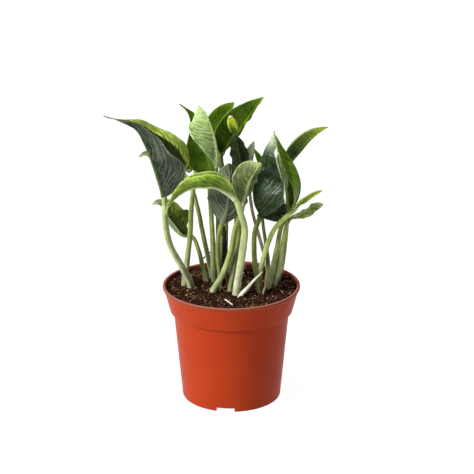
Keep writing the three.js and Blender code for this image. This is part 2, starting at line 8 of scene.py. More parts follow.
# %% Load the frame
import json
import math
import bpy
import numpy as np
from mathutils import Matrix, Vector, noise

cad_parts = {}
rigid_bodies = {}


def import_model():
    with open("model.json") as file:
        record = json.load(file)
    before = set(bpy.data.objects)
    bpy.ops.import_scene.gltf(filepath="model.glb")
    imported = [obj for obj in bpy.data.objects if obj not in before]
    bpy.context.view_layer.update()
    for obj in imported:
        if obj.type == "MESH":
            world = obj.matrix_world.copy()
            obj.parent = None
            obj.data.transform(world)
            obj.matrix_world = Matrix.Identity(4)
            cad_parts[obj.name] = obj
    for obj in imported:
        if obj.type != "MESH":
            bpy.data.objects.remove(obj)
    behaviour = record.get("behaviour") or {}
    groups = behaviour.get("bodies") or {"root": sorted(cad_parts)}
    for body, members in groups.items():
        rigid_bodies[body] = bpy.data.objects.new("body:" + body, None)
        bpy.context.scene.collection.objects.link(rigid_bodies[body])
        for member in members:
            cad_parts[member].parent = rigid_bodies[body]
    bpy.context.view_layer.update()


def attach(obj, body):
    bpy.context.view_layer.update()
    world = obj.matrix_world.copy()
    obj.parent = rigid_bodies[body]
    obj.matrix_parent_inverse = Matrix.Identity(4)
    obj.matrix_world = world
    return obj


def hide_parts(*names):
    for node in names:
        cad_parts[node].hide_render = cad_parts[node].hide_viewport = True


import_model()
MM = 0.001

# %% [markdown]
# ## Helpers for every material and node tree
# Colours are written as the sRGB hex values that a painter would pick, and one function turns them
# into the linear values that a shader adds up. Another adds a node with its settings and its links.
# The short ones after it add the kinds of node that come up again and again, which keeps each
# material short enough to read. The last two put
# an object in the scene and make a mesh.

# %% Helpers
def srgb(code):
    """Linear colour from an sRGB hex code."""
    values = [int(code[i:i + 2], 16) / 255 for i in (0, 2, 4)]
    return [v / 12.92 if v <= 0.04045 else ((v + 0.055) / 1.055) ** 2.4 for v in values] + [1.0]


def first(value):
    """The socket to link, where a node stands for its first output."""
    return value.outputs[0] if isinstance(value, bpy.types.Node) else value


def add(tree, kind, inputs=None, **settings):
    """One node: each input is a value, or a socket or a node to link."""
    node = tree.nodes.new(kind)
    for key, value in settings.items():
        setattr(node, key, value)
    for key, value in (inputs or {}).items():
        value = first(value)
        if isinstance(value, bpy.types.NodeSocket):
            tree.links.new(value, node.inputs[key])
        else:
            node.inputs[key].default_value = value
    return node


def new_material(name, roughness, ior, gloss=0.5):
    """A material with its shader: a number that is the same everywhere sits on the shader."""
    material = bpy.data.materials.new(name)
    material.use_nodes = True
    shader = material.node_tree.nodes["Principled BSDF"]
    shader.inputs["Roughness"].default_value = roughness
    shader.inputs["IOR"].default_value = ior
    shader.inputs["Specular IOR Level"].default_value = gloss
    return material, material.node_tree, shader


def object_spot(tree):
    """Where on the object a place is, in metres."""
    return add(tree, "ShaderNodeTexCoord").outputs["Object"]


def noise_at(tree, spot, mm, detail, roughness=0.5):
    """Noise with blobs of a size in mm."""
    return add(tree, "ShaderNodeTexNoise", {"Vector": spot, "Scale": 1 / (mm * MM), "Detail": detail,
                                            "Roughness": roughness})


def remap(tree, value, low, high, to_low=0, to_high=1, **settings):
    """A value stretched from one range to another, and kept inside it."""
    return add(tree, "ShaderNodeMapRange", {"Value": value, "From Min": low, "From Max": high,
                                            "To Min": to_low, "To Max": to_high}, **settings)


def maths(tree, operation, *values):
    """A product, a cosine or another operation on numbers."""
    return add(tree, "ShaderNodeMath", dict(enumerate(values)), operation=operation)


def mixed(tree, share, one, other):
    """Two colours mixed by a share: each is a socket or a hex code."""
    one, other = (srgb(c) if isinstance(c, str) else c for c in (one, other))
    return add(tree, "ShaderNodeMix", {0: share, 6: one, 7: other}, data_type="RGBA").outputs[2]


def toned(tree, colour, value):
    """A colour made deeper or lighter."""
    return add(tree, "ShaderNodeHueSaturation", {"Color": colour, "Value": value})


def ramp(tree, share, *stops):
    """A colour that runs through stops, each a share and a hex code."""
    node = add(tree, "ShaderNodeValToRGB", {"Fac": share})
    marks = node.color_ramp.elements
    for mark, (at, code) in ((marks[0], stops[0]), (marks[1], stops[-1])):
        mark.position, mark.color = at, srgb(code)
    for at, code in stops[1:-1]:
        marks.new(at).color = srgb(code)
    return node


def dress(tree, shader, colour, height, strength, depth_mm):
    """Gives a shader its colour and a relief with a depth in mm."""
    relief = add(tree, "ShaderNodeBump", {"Height": height, "Strength": strength,
                                          "Distance": depth_mm * MM})
    tree.links.new(first(colour), shader.inputs["Base Color"])
    tree.links.new(first(relief), shader.inputs["Normal"])


def carried(tree, mark):
    """A number that the mesh carries at each point."""
    return add(tree, "ShaderNodeAttribute", attribute_name=mark).outputs["Fac"]


def placed(name, data):
    """An object in the scene that shows a mesh, a curve, a lamp or a camera."""
    thing = bpy.data.objects.new(name, data)
    bpy.context.collection.objects.link(thing)
    return thing


def mesh_of(name, points, faces, *materials):
    """A mesh from points in mm."""
    mesh = bpy.data.meshes.new(name)
    mesh.from_pydata(np.asarray(points) * MM, [], faces)
    for material in materials:
        mesh.materials.append(material)
    return mesh


print("a mid grey in linear light:", round(srgb("808080")[0], 3))

# %% [markdown]
# ## Camera
# The photograph was taken from a little above the rim with a long lens. A camera fitted to the
# rim's ellipse and to the base gives 19 degrees of elevation, so the camera is placed on that line
# of sight and looks at the middle of the plant.

# %% Camera
CAMERA_DISTANCE = 1200
CAMERA_ELEVATION = math.radians(19.03)
CAMERA_TARGET = Vector((4.26, 0, 127.84))
CAMERA_LENS = 120.43

camera = placed("camera", bpy.data.cameras.new("camera"))
sight = Vector((0, math.cos(CAMERA_ELEVATION), -math.sin(CAMERA_ELEVATION)))
camera.location = (CAMERA_TARGET - sight * CAMERA_DISTANCE) * MM
camera.rotation_euler = sight.to_track_quat("-Z", "Y").to_euler()
camera.data.lens = CAMERA_LENS
camera.data.sensor_width = 36
bpy.context.scene.camera = camera
print("camera at", [round(c, 3) for c in camera.location])

# %% [markdown]
# ## Light and floor
# The object stands on white in soft studio light. The pot is bright at its left and dark at its
# right, so the main light is a broad one from the front left, with a weak one from above and a very
# dim sky. Nothing throws a shadow that shows, so the floor is a light table: pale matt acrylic that
# also glows a little from below, as photographers use to lose a shadow.

# %% Lights and floor
KEY_STRENGTH = 4.4
TOP_STRENGTH = 1.1
SKY_STRENGTH = 0.06
FLOOR_GLOW = 0.97
FLOOR_HALF = 4000


def add_sun(name, strength, spread, towards):
    """A soft directional light: spread is its apparent width in degrees."""
    sun = bpy.data.lights.new(name, "SUN")
    sun.energy = strength
    sun.angle = math.radians(spread)
    placed(name, sun).rotation_euler = Vector(towards).to_track_quat("-Z", "Y").to_euler()


add_sun("key_light", KEY_STRENGTH, 24, (0.84, 0.54, -0.62))
add_sun("top_light", TOP_STRENGTH, 22, (0.05, 0.05, -1))

world = bpy.data.worlds.new("studio")
world.use_nodes = True
world.node_tree.nodes["Background"].inputs["Color"].default_value = (1, 1, 1, 1)
world.node_tree.nodes["Background"].inputs["Strength"].default_value = SKY_STRENGTH
bpy.context.scene.world = world
bpy.context.scene.view_settings.view_transform = "Standard"

corners = [(x * FLOOR_HALF, y * FLOOR_HALF, 0) for x, y in ((-1, -1), (1, -1), (1, 1), (-1, 1))]
floor = placed("floor", mesh_of("floor", corners, [(0, 1, 2, 3)]))
floor_paint, _, floor_shader = new_material("light_table_acrylic", 0.9, 1.45)
floor_shader.inputs["Base Color"].default_value = srgb("606060")
floor_shader.inputs["Emission Color"].default_value = (1, 1, 1, 1)
floor_shader.inputs["Emission Strength"].default_value = FLOOR_GLOW
floor.data.materials.append(floor_paint)
print("floor", FLOOR_HALF * 2 * MM, "m wide")


# %% [markdown]
# ## Making a piece
# Every finished piece is told two things: the body it rides on and the CAD nodes that it stands
# for. The pot and the soil are round, so a turning function is here too.

# %% Making a piece
def new_piece(name, points, faces, materials, nodes, marks=None, sides=None, uv=None):
    """A finished piece from points in mm: it rides on the body, and stands for its CAD nodes."""
    mesh = mesh_of(name, points, faces, *materials)
    for mark, values in (marks or {}).items():
        layer = mesh.attributes.new(mark, "FLOAT", "POINT")
        layer.data.foreach_set("value", np.asarray(values, np.float32).ravel())
    if sides is not None:
        mesh.polygons.foreach_set("material_index", np.asarray(sides, np.int32))
    if uv is not None:
        layer = mesh.uv_layers.new(name="blade")
        corner = np.zeros(len(mesh.loops), np.int32)
        mesh.loops.foreach_get("vertex_index", corner)
        layer.data.foreach_set("uv", np.asarray(uv, np.float32)[corner].ravel())
    mesh.shade_smooth()
    return settle(placed(name, mesh), nodes)


def settle(piece, nodes):
    """Says which body carries a piece and which nodes it stands for."""
    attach(piece, "root")
    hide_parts(*nodes)
    return piece


def revolve(profile, segments, lift=None):
    """Points and faces of a turned body, from [radius, height] pairs that start and end on the axis."""
    points = []
    rings = []
    for radius, height in profile:
        count = 1 if radius == 0 else segments
        rings.append([len(points) + k for k in range(count)])
        for k in range(count):
            angle = 2 * math.pi * k / segments
            x, y = radius * math.cos(angle), radius * math.sin(angle)
            points.append((x, y, height + (lift(x, y, height) if lift else 0)))
    faces = []
    for inner, outer in zip(rings, rings[1:]):
        for k in range(segments):
            n = (k + 1) % segments
            a = [inner[k % len(inner)], inner[n % len(inner)]]
            b = [outer[n % len(outer)], outer[k % len(outer)]]
            faces.append([*dict.fromkeys(a + b)])
    return points, faces


print("a turned body of two rings has", len(revolve([(0, 0), (1, 0), (1, 1), (0, 1)], 8)[1]), "faces")


# %% [markdown]
# ## The pot
# A nursery pot is injection moulded in polypropylene: a tapered cup with a collar that starts at a
# step, a rolled lip, a foot ring and three drainage notches. It could be turned with a Screw
# modifier. Here its profile is turned by a short function with many segments, so that the lip stays
# round in close-up, and Boolean cutters take out the notches, as the tool's cores do.

# %% Pot form
POT_HEIGHT, RIM_RADIUS, WALL, FOOT_RADIUS = 90, 52.5, 1.2, 38
STEP_HEIGHT, STEP_RADIUS, COLLAR_FOOT_RADIUS, COLLAR_TOP_RADIUS = 69.9, 44.3, 46.9, 51.4
LIP_HEIGHT, FLOOR_RISE, PAD_RADIUS, FOOT_RING_WIDTH = 2, 3, 14, 4
NOTCH_WIDTH, NOTCH_HEIGHT, NOTCH_COUNT, NOTCH_FIRST_TURN, DRAIN_LENGTH = 14, 3.2, 3, -7, 8
POT_SEGMENTS = 240
CURVE_STEPS = 5
LEDGE_SLOPE, INNER_SLOPE, SHARP_ANGLE = 0.6, 0.8, 35


def rounded(profile, radii):
    """The profile with each named corner turned into a short arc of that radius."""
    soft = []
    for i, corner in enumerate(profile):
        reach = radii.get(i, 0)
        if not reach:
            soft.append(corner)
            continue
        here = np.array(corner, float)
        ends = []
        for other in (profile[i - 1], profile[i + 1]):
            way = np.array(other, float) - here
            far = np.linalg.norm(way)
            ends.append(here + way / far * min(reach, far * 0.45))
        for k in range(CURVE_STEPS + 1):
            t = k / CURVE_STEPS
            soft.append(tuple((1 - t) ** 2 * ends[0] + 2 * t * (1 - t) * here + t * t * ends[1]))
    return soft


inner_step = STEP_HEIGHT + WALL
pot_profile = [
    (0, 0), (PAD_RADIUS, 0), (PAD_RADIUS + 1, FLOOR_RISE),
    (FOOT_RADIUS - FOOT_RING_WIDTH, FLOOR_RISE), (FOOT_RADIUS - FOOT_RING_WIDTH + LEDGE_SLOPE, 0),
    (FOOT_RADIUS, 0), (STEP_RADIUS, STEP_HEIGHT - LEDGE_SLOPE), (COLLAR_FOOT_RADIUS, STEP_HEIGHT),
    (COLLAR_TOP_RADIUS, POT_HEIGHT - LIP_HEIGHT - LEDGE_SLOPE),
    (RIM_RADIUS, POT_HEIGHT - LIP_HEIGHT), (RIM_RADIUS, POT_HEIGHT),
    (COLLAR_TOP_RADIUS - WALL, POT_HEIGHT),
    (COLLAR_FOOT_RADIUS - WALL, inner_step), (STEP_RADIUS - WALL, inner_step - INNER_SLOPE),
    (FOOT_RADIUS - WALL, FLOOR_RISE + WALL), (0, FLOOR_RISE + WALL),
]
corner_radii = {1: 0.4, 2: 0.4, 3: 0.4, 4: 0.3, 5: 0.9, 6: 0.5, 7: 0.7, 8: 0.8, 9: 0.6, 10: 0.9,
                11: 1.4, 12: 0.6, 13: 0.6, 14: 0.8}
pot_points, pot_faces = revolve(rounded(pot_profile, corner_radii), POT_SEGMENTS)
print("pot:", len(pot_points), "points before the notches")

# %% [markdown]
# The plastic is coloured polypropylene, terracotta red. Moulding gives it an even satin skin. What
# the eye reads is a very fine grain, a slight clouding of the pigment where the melt flowed, and a
# few dull scuffs, so colour and roughness both follow noise at those sizes. The lip's upper edge is
# painted paler: a painted highlight where its round catches the light. Inside, soil has splashed up
# the wall and dried there, most of it just above the mix, so that wall is found by how far a place
# lies inside the collar's taper.

# %% Pot plastic
CLOUD_MM, GRAIN_MM, SCUFF_MM, SPLASH_MM = 22, 0.5, 9, 1.6
LIP_HIGHLIGHT_DEPTH, SPLASH_FOOT, SPLASH_TOP = 0.45, 86.5, 90
pot_plastic, tree, shader = new_material("moulded_polypropylene", 0.42, 1.49, 0.06)
spot = object_spot(tree)
level = add(tree, "ShaderNodeSeparateXYZ", {"Vector": spot}).outputs["Z"]
plastic = mixed(tree, noise_at(tree, spot, CLOUD_MM, 3), "9a2e10", "a43814")
dulling = remap(tree, noise_at(tree, spot, SCUFF_MM, 6, 0.7), 0.3, 0.75, 0.36, 0.52)
lip_foot = POT_HEIGHT - LIP_HEIGHT
lip_flank = remap(tree, level, (lip_foot - 0.4) * MM, lip_foot * MM)
# Painted highlight: the lip's top edge is made paler where its round catches the light.
lip_highlight = remap(tree, level, (POT_HEIGHT - LIP_HIGHLIGHT_DEPTH) * MM, (POT_HEIGHT - LIP_HIGHLIGHT_DEPTH / 3) * MM, 0, 0.45)
flat = add(tree, "ShaderNodeVectorMath", {0: spot, 1: (1, 1, 0)}, operation="MULTIPLY")
reach = add(tree, "ShaderNodeVectorMath", {0: flat}, operation="LENGTH").outputs["Value"]
wall_at = remap(tree, level, STEP_HEIGHT * MM, lip_foot * MM, (COLLAR_FOOT_RADIUS - WALL / 2) * MM,
                (COLLAR_TOP_RADIUS - WALL / 2) * MM)
inside = maths(tree, "LESS_THAN", reach, wall_at)
above = maths(tree, "GREATER_THAN", level, (SPLASH_FOOT - 1) * MM)
least = remap(tree, level, SPLASH_FOOT * MM, SPLASH_TOP * MM, 0.36, 0.66)
over = maths(tree, "SUBTRACT", noise_at(tree, spot, SPLASH_MM, 6, 0.7), least)
splashed = maths(tree, "MULTIPLY", inside, above)
dirt = maths(tree, "MULTIPLY", remap(tree, over, -0.02, 0.03), splashed)
# The lip band's colour, the painted highlight on the lip's top edge, and splashed soil.
for share, layer in ((lip_flank, "86402e"), (lip_highlight, "c4897a"), (dirt, "2a1810")):
    plastic = mixed(tree, share, plastic, layer)
dress(tree, shader, plastic, noise_at(tree, spot, GRAIN_MM, 2), 0.12, 0.1)
tree.links.new(first(dulling), shader.inputs["Roughness"])
print("pot plastic:", len(tree.nodes), "nodes")


# %% [markdown]
# The foot ring is notched at three places, with a drain slot in the floor beside each notch. Blocks
# cut them, and what the cuts leave is kept as a plain mesh with sharp edges where it is cornered.

# %% Pot piece
BLOCK_FACES = [(0, 1, 3, 2), (4, 6, 7, 5), (0, 4, 5, 1), (2, 3, 7, 6), (0, 2, 6, 4), (1, 5, 7, 3)]


def cutter(name, size, middle, turn):
    """A block that is turned about the pot's axis and used once, to cut."""
    c, s = math.cos(turn), math.sin(turn)
    points = []
    for x, y, z in [(x, y, z) for x in (-1, 1) for y in (-1, 1) for z in (-1, 1)]:
        px, py = middle[0] + x * size[0] / 2, middle[1] + y * size[1] / 2
        points.append((px * c - py * s, px * s + py * c, middle[2] + z * size[2] / 2))
    return placed(name, mesh_of(name, points, BLOCK_FACES))


def baked(thing, name):
    """A plain mesh object of what the modifiers make of a thing, which is then removed."""
    seen = bpy.context.evaluated_depsgraph_get()
    mesh = bpy.data.meshes.new_from_object(thing.evaluated_get(seen))
    mesh.name = name
    bpy.data.objects.remove(thing)
    return placed(name, mesh)


raw_pot = placed("raw_pot", mesh_of("raw_pot", pot_points, pot_faces, pot_plastic))
tools = []
for k in range(NOTCH_COUNT):
    turn = math.radians(NOTCH_FIRST_TURN - 90 + 360 / NOTCH_COUNT * k)
    tools.append(cutter(f"notch_{k}", (FOOT_RING_WIDTH * 2.5, NOTCH_WIDTH, NOTCH_HEIGHT * 2),
                        (FOOT_RADIUS, 0, 0), turn))
    tools.append(cutter(f"drain_{k}", (DRAIN_LENGTH, NOTCH_WIDTH * 0.6, 4 * WALL),
                        (FOOT_RADIUS - FOOT_RING_WIDTH - DRAIN_LENGTH, 0, FLOOR_RISE + WALL / 2), turn))
for tool in tools:
    cut = raw_pot.modifiers.new(tool.name, "BOOLEAN")
    cut.object = tool
    cut.operation = "DIFFERENCE"
    cut.solver = "EXACT"
pot = baked(raw_pot, "nursery_pot")
for tool in tools:
    bpy.data.objects.remove(tool)
pot.data.shade_smooth()
pot.data.set_sharp_from_angle(angle=math.radians(SHARP_ANGLE))
settle(pot, ["pot"])
print("pot:", len(pot.data.polygons), "faces with", NOTCH_COUNT, "notches")

# %% [markdown]
# ## The soil
# Potting mix is milled peat and bark with a little perlite. Its surface is crumbly at 1 to 4 mm and
# rolls gently over the whole pot. The body is turned like the pot, and its top rings are lifted by
# noise. Loose crumbs are scattered over it in a later step.

# %% Soil form
SOIL_GAP, SOIL_LEVEL, SOIL_MOUND, SOIL_BUMP = 0.35, 87, 1.4, 0.55
SOIL_SEGMENTS, SOIL_RING_STEP, SOIL_EDGE, LEAST_RING = 200, 0.75, 0.6, 0.3
EDGE_INSET, FOOT_BEVEL, FOOT_RISE = 0.2, 0.8, 0.6
CRUMB_MM, CRUMB_HEIGHT, FINE_CRUMB_MM, FINE_CRUMB_HEIGHT = 4.5, 1.5, 1.6, 0.7


def soil_lift(x, y, height):
    """The CAD soil's low mound and bumps, with crumbs on top that fade at the pot's wall."""
    if height < SOIL_LEVEL - 0.01:
        return 0
    reach = math.hypot(x, y) / COLLAR_TOP_RADIUS
    bump = math.sin(0.31 * x + 1.3) * math.cos(0.27 * y - 0.4) + math.sin(0.19 * x - 0.23 * y)
    place = Vector((x, y, 7))
    crumbs = CRUMB_HEIGHT * noise.noise(place / CRUMB_MM)
    crumbs += FINE_CRUMB_HEIGHT * noise.noise(place / FINE_CRUMB_MM)
    roll = SOIL_MOUND * (1 - reach * reach) + SOIL_BUMP * bump * (1 - reach ** 6)
    return roll + crumbs * (1 - reach ** 8)


taper = (COLLAR_TOP_RADIUS - COLLAR_FOOT_RADIUS) / (POT_HEIGHT - LIP_HEIGHT - STEP_HEIGHT)
soil_radius = COLLAR_FOOT_RADIUS - WALL - SOIL_GAP + taper * (SOIL_LEVEL - inner_step) - EDGE_INSET
ring_radii = np.arange(soil_radius - SOIL_EDGE, LEAST_RING, -SOIL_RING_STEP)
top_rings = [(r, SOIL_LEVEL) for r in ring_radii]
soil_profile = [
    (0, FLOOR_RISE + WALL + SOIL_GAP),
    (FOOT_RADIUS - WALL - FOOT_BEVEL - SOIL_GAP, FLOOR_RISE + WALL + SOIL_GAP),
    (FOOT_RADIUS - WALL - SOIL_GAP, FLOOR_RISE + WALL + FOOT_RISE + SOIL_GAP),
    (STEP_RADIUS - WALL - SOIL_GAP, inner_step - INNER_SLOPE + SOIL_GAP),
    (COLLAR_FOOT_RADIUS - WALL - SOIL_GAP - 0.1, inner_step + SOIL_GAP),
    (soil_radius, SOIL_LEVEL - 0.5), *top_rings, (0, SOIL_LEVEL),
]
soil_points, soil_faces = revolve(soil_profile, SOIL_SEGMENTS, soil_lift)
print("soil:", len(soil_points), "points")

# %% [markdown]
# Moist peat is nearly black in its pits and red-brown where crumbs catch the light, with bits of
# pale fibre. It has no gloss. The colour comes from noise at the size of the crumbs, and a Voronoi
# pattern breaks it into grains.

# %% Potting mix
CRUMB_TONE_MM, GRIT_MM = 2.2, 1.3
potting_mix, tree, shader = new_material("peat_and_bark", 0.95, 1.4, 0.1)
spot = object_spot(tree)
crumb = noise_at(tree, spot, CRUMB_TONE_MM, 8, 0.75)
grit = add(tree, "ShaderNodeTexVoronoi", {"Vector": spot, "Scale": 1 / (GRIT_MM * MM)})
earth = ramp(tree, crumb, (0.36, "0e0704"), (0.54, "301a11"), (0.7, "7c4c34"))
speck = remap(tree, grit.outputs["Color"], 0.86, 0.93)
dress(tree, shader, mixed(tree, speck, earth, "8c6a50"), crumb, 0.9, 1.2)
soil = new_piece("soil_body", soil_points, soil_faces, [potting_mix], ["soil"])
print("soil body:", len(soil.data.polygons), "faces")

# %% [markdown]
# ## One tree for everything that follows a route
# A leaf stalk is a soft tube with a shallow channel along one side. It is pale where it leaves the
# soil and thickens there. Every stalk, the dried stem and the twig follow a route in space, so one
# Geometry Nodes tree sweeps a grooved profile along a curve. Its inputs are real sizes.

# %% Route tree
def new_tree(name, sockets):
    """A Geometry Nodes tree with named inputs, and the identifier of each of them."""
    tree = bpy.data.node_groups.new(name, "GeometryNodeTree")
    tree.interface.new_socket("Geometry", in_out="OUTPUT", socket_type="NodeSocketGeometry")
    tree.interface.new_socket("Geometry", in_out="INPUT", socket_type="NodeSocketGeometry")
    keys = {}
    for label, kind in sockets.items():
        item = tree.interface.new_socket(label, in_out="INPUT", socket_type="NodeSocket" + kind)
        keys[label] = item.identifier
    return tree, keys, add(tree, "NodeGroupInput").outputs, add(tree, "NodeGroupOutput")


def grown(thing, tree, keys, values, name):
    """A plain mesh object of what a tree makes of a thing, with these values in its named inputs."""
    grower = thing.modifiers.new("grower", "NODES")
    grower.node_group = tree
    for label, value in values.items():
        grower[keys[label]] = value
    return baked(thing, name)


def stored(tree, geometry, name, value, domain="POINT"):
    """Geometry that carries a named number."""
    return add(tree, "GeometryNodeStoreNamedAttribute", {"Geometry": geometry, "Name": name,
                                                         "Value": value},
               data_type="FLOAT", domain=domain)


def scaled(tree, vector, share):
    """A vector times a number."""
    return add(tree, "ShaderNodeVectorMath", {0: vector, "Scale": share}, operation="SCALE")


RIB_COUNT = 9
sweep, sweep_keys, given, sweep_out = new_tree("sweep_along_route", {
    "Foot radius": "Float", "Top radius": "Float", "Foot swell": "Float", "Groove": "Float",
    "Rib": "Float", "Bark height": "Float", "Bark size": "Float", "Sides": "Int",
    "Seed": "Float", "Material": "Material"})
factor = add(sweep, "GeometryNodeSplineParameter")
marked = stored(sweep, given["Geometry"], "along", factor)
straight = remap(sweep, factor, 0, 1, given["Foot radius"], given["Top radius"])
near_foot = remap(sweep, factor, 0.12, 0.42, given["Foot swell"], 1, interpolation_type="SMOOTHSTEP")
width = maths(sweep, "MULTIPLY", straight, near_foot)
circle = add(sweep, "GeometryNodeCurvePrimitiveCircle", {"Resolution": given["Sides"], "Radius": 1.0})
turned = add(sweep, "GeometryNodeSplineParameter")
around = stored(sweep, circle, "around", turned)
angle = maths(sweep, "MULTIPLY", turned, 2 * math.pi)
channel = remap(sweep, maths(sweep, "COSINE", angle), 0.72, 1, 0, given["Groove"],
                interpolation_type="SMOOTHSTEP")
ribs_wave = maths(sweep, "COSINE", maths(sweep, "MULTIPLY", angle, RIB_COUNT))
ribs = maths(sweep, "MULTIPLY_ADD", ribs_wave, given["Rib"], 1)
reach = maths(sweep, "SUBTRACT", ribs, channel)
pressed = scaled(sweep, add(sweep, "GeometryNodeInputPosition"), reach)
profile = add(sweep, "GeometryNodeSetPosition", {"Geometry": around, "Position": pressed})
swept = add(sweep, "GeometryNodeCurveToMesh", {"Curve": marked, "Profile Curve": profile,
                                               "Scale": width, "Fill Caps": True})
bark_at = add(sweep, "GeometryNodeInputPosition")
bark = add(sweep, "ShaderNodeTexNoise", {"Vector": bark_at, "W": given["Seed"],
                                         "Scale": given["Bark size"], "Detail": 4.0},
           noise_dimensions="4D")
bark_lift = remap(sweep, bark, 0.3, 0.7, 0, given["Bark height"])
bark_step = scaled(sweep, add(sweep, "GeometryNodeInputNormal"), bark_lift)
knobbly = add(sweep, "GeometryNodeSetPosition", {"Geometry": swept, "Offset": bark_step})
real = add(sweep, "GeometryNodeRealizeInstances", {"Geometry": knobbly})
smooth = add(sweep, "GeometryNodeSetShadeSmooth", {"Geometry": real})
dressed = add(sweep, "GeometryNodeSetMaterial", {"Geometry": smooth, "Material": given["Material"]})
sweep.links.new(first(dressed), sweep_out.inputs["Geometry"])
print("route tree:", len(sweep.nodes), "nodes")


# %% [markdown]
# A route is a smooth curve through a few given points. It is the same cubic as in the CAD
# source, so a finished stalk lies exactly along its plain one.

# %% Routes
class Route:
    """A cubic through points in mm, measured along their chords."""

    def __init__(self, points):
        self.points = np.array(points, float)
        chords = np.diff(self.points, axis=0)
        spans = np.linalg.norm(chords, axis=1)
        self.marks = np.concatenate([[0], np.cumsum(spans)])
        self.length = self.marks[-1]
        rates = chords / spans[:, None]
        self.slopes = np.empty_like(self.points)
        self.slopes[0], self.slopes[-1] = rates[0], rates[-1]
        before, after = spans[:-1, None], spans[1:, None]
        self.slopes[1:-1] = (rates[1:] * before + rates[:-1] * after) / (before + after)

    def at(self, distance):
        """Places on the route at an array of distances."""
        i = np.clip(np.searchsorted(self.marks, distance, "left") - 1, 0, len(self.points) - 2)
        span = (self.marks[i + 1] - self.marks[i])[:, None]
        t = (distance - self.marks[i])[:, None] / span
        return (self.points[i] * (2 * t ** 3 - 3 * t ** 2 + 1)
                + self.slopes[i] * (t ** 3 - 2 * t ** 2 + t) * span
                + self.points[i + 1] * (3 * t ** 2 - 2 * t ** 3)
                + self.slopes[i + 1] * (t ** 3 - t ** 2) * span)

    def frames(self, distance):
        """Place, along, side and front at an array of distances: front points to the camera."""
        step = 0.05
        along = (self.at(np.minimum(distance + step, self.length))
                 - self.at(np.maximum(distance - step, 0)))
        along /= np.linalg.norm(along, axis=1)[:, None]
        side = np.cross(along, [0, -1, 0])
        side /= np.linalg.norm(side, axis=1)[:, None]
        return self.at(distance), along, side, np.cross(side, along)


SUNK_DEPTH, ROUTE_STEP, FEWEST_PLACES = 16, 1.4, 12


def sunk_route(points):
    """A route that starts straight down in the soil, where the CAD stalk stands in its hole."""
    x, y, z = points[0]
    return Route([[x, y, z - SUNK_DEPTH], *points])


def swept_piece(name, route, start, end, sizes, material, nodes):
    """A piece swept along part of a route. sizes are the tree's inputs, in mm."""
    count = max(FEWEST_PLACES, int((end - start) / ROUTE_STEP))
    places = route.at(np.linspace(start, end, count)) * MM
    curve = bpy.data.curves.new(name + "_route", "CURVE")
    curve.dimensions = "3D"
    curve.twist_mode = "MINIMUM"
    line = curve.splines.new("POLY")
    line.points.add(len(places) - 1)
    line.points.foreach_set("co", np.column_stack([places, np.ones(len(places))]).ravel())
    defaults = {"Foot swell": 1.0, "Groove": 0.0, "Rib": 0.0, "Bark height": 0.0, "Bark size": 300.0,
                "Sides": 24, "Seed": 0.0, "Material": material}
    piece = grown(placed(name + "_route", curve), sweep, sweep_keys, {**defaults, **sizes}, name)
    return settle(piece, nodes)


print("a straight route of 10 mm:", Route([[0, 0, 0], [0, 0, 10]]).length, "mm")


# %% [markdown]
# ## Stalk and stem finishes
# A leaf stalk is wet, firm tissue under a thin waxy skin, so it shines softly. It is whitish where
# it leaves the soil and greener higher up. Its fibres show as faint stripes that run its whole
# length, which the swept attribute "around" can carry, because it says where a point lies round the
# stalk.

# %% Stalk skin
def stalk_skin(name, foot, middle, top, stripe, roughness=0.36):
    """Waxy stalk tissue with three colours from the soil up and stripes along its fibres."""
    material, tree, shader = new_material(name, roughness, 1.42, 0.2)
    along, around = (carried(tree, mark) for mark in ("along", "around"))
    rise = ramp(tree, along, (0.1, foot), (0.5, middle), (1, top))
    fibre_at = add(tree, "ShaderNodeCombineXYZ", {"X": around, "Y": along})
    fibres = add(tree, "ShaderNodeMapping", {"Vector": fibre_at, "Scale": (16, 2.2, 1)})
    streak = add(tree, "ShaderNodeTexNoise", {"Vector": fibres, "Scale": 1.0, "Detail": 3})
    striped = mixed(tree, remap(tree, streak, 0.42, 0.68, 0, 0.75), rise, stripe)
    shade = remap(tree, noise_at(tree, object_spot(tree), 7, 3), 0.35, 0.7, 0.72, 1.12)
    dress(tree, shader, toned(tree, striped, shade), streak, 0.35, 0.25)
    return material


STALK_TONES = {
    "mid": "c6cba6 a8b369 98a655 66752e",
    "pale": "dde1c4 c4ce98 aebd74 94a35e",
    "fresh": "e2e8c6 ccd98c bbcd6c 98ac4e",
    "dark": "b4b988 848f45 65752f 465522",
    "flushed": "e4d0b6 d8c6a0 a9b46c 968a50",
}
STALK_SKINS = {name: stalk_skin("stalk_skin_" + name, *tones.split())
               for name, tones in STALK_TONES.items()}
print("stalk skins:", sorted(STALK_SKINS))


# %% [markdown]
# ## Leaf finishes
# A pothos blade has two skins. The upper one is waxy and deep green, and the lower one is paler, more
# matt and greyer. Veins run out from the midrib and bend towards the tip, and the tissue between
# them puckers. Some young blades are still pale and mottled. Each finish below mixes a deep and a
# light tone by noise at a few millimetres, then lays the veins, the midrib, the tip and the thin
# translucent margin over it, and makes fine specks lighter or darker. The blade's own attributes say
# where those are, and the shade attribute carries painted light and shade: it darkens the parts of a
# blade that lie in shade and lightens those that catch the light.

# %% Leaf skin
MOTTLE_MM, PORE_MM = 7, 0.9


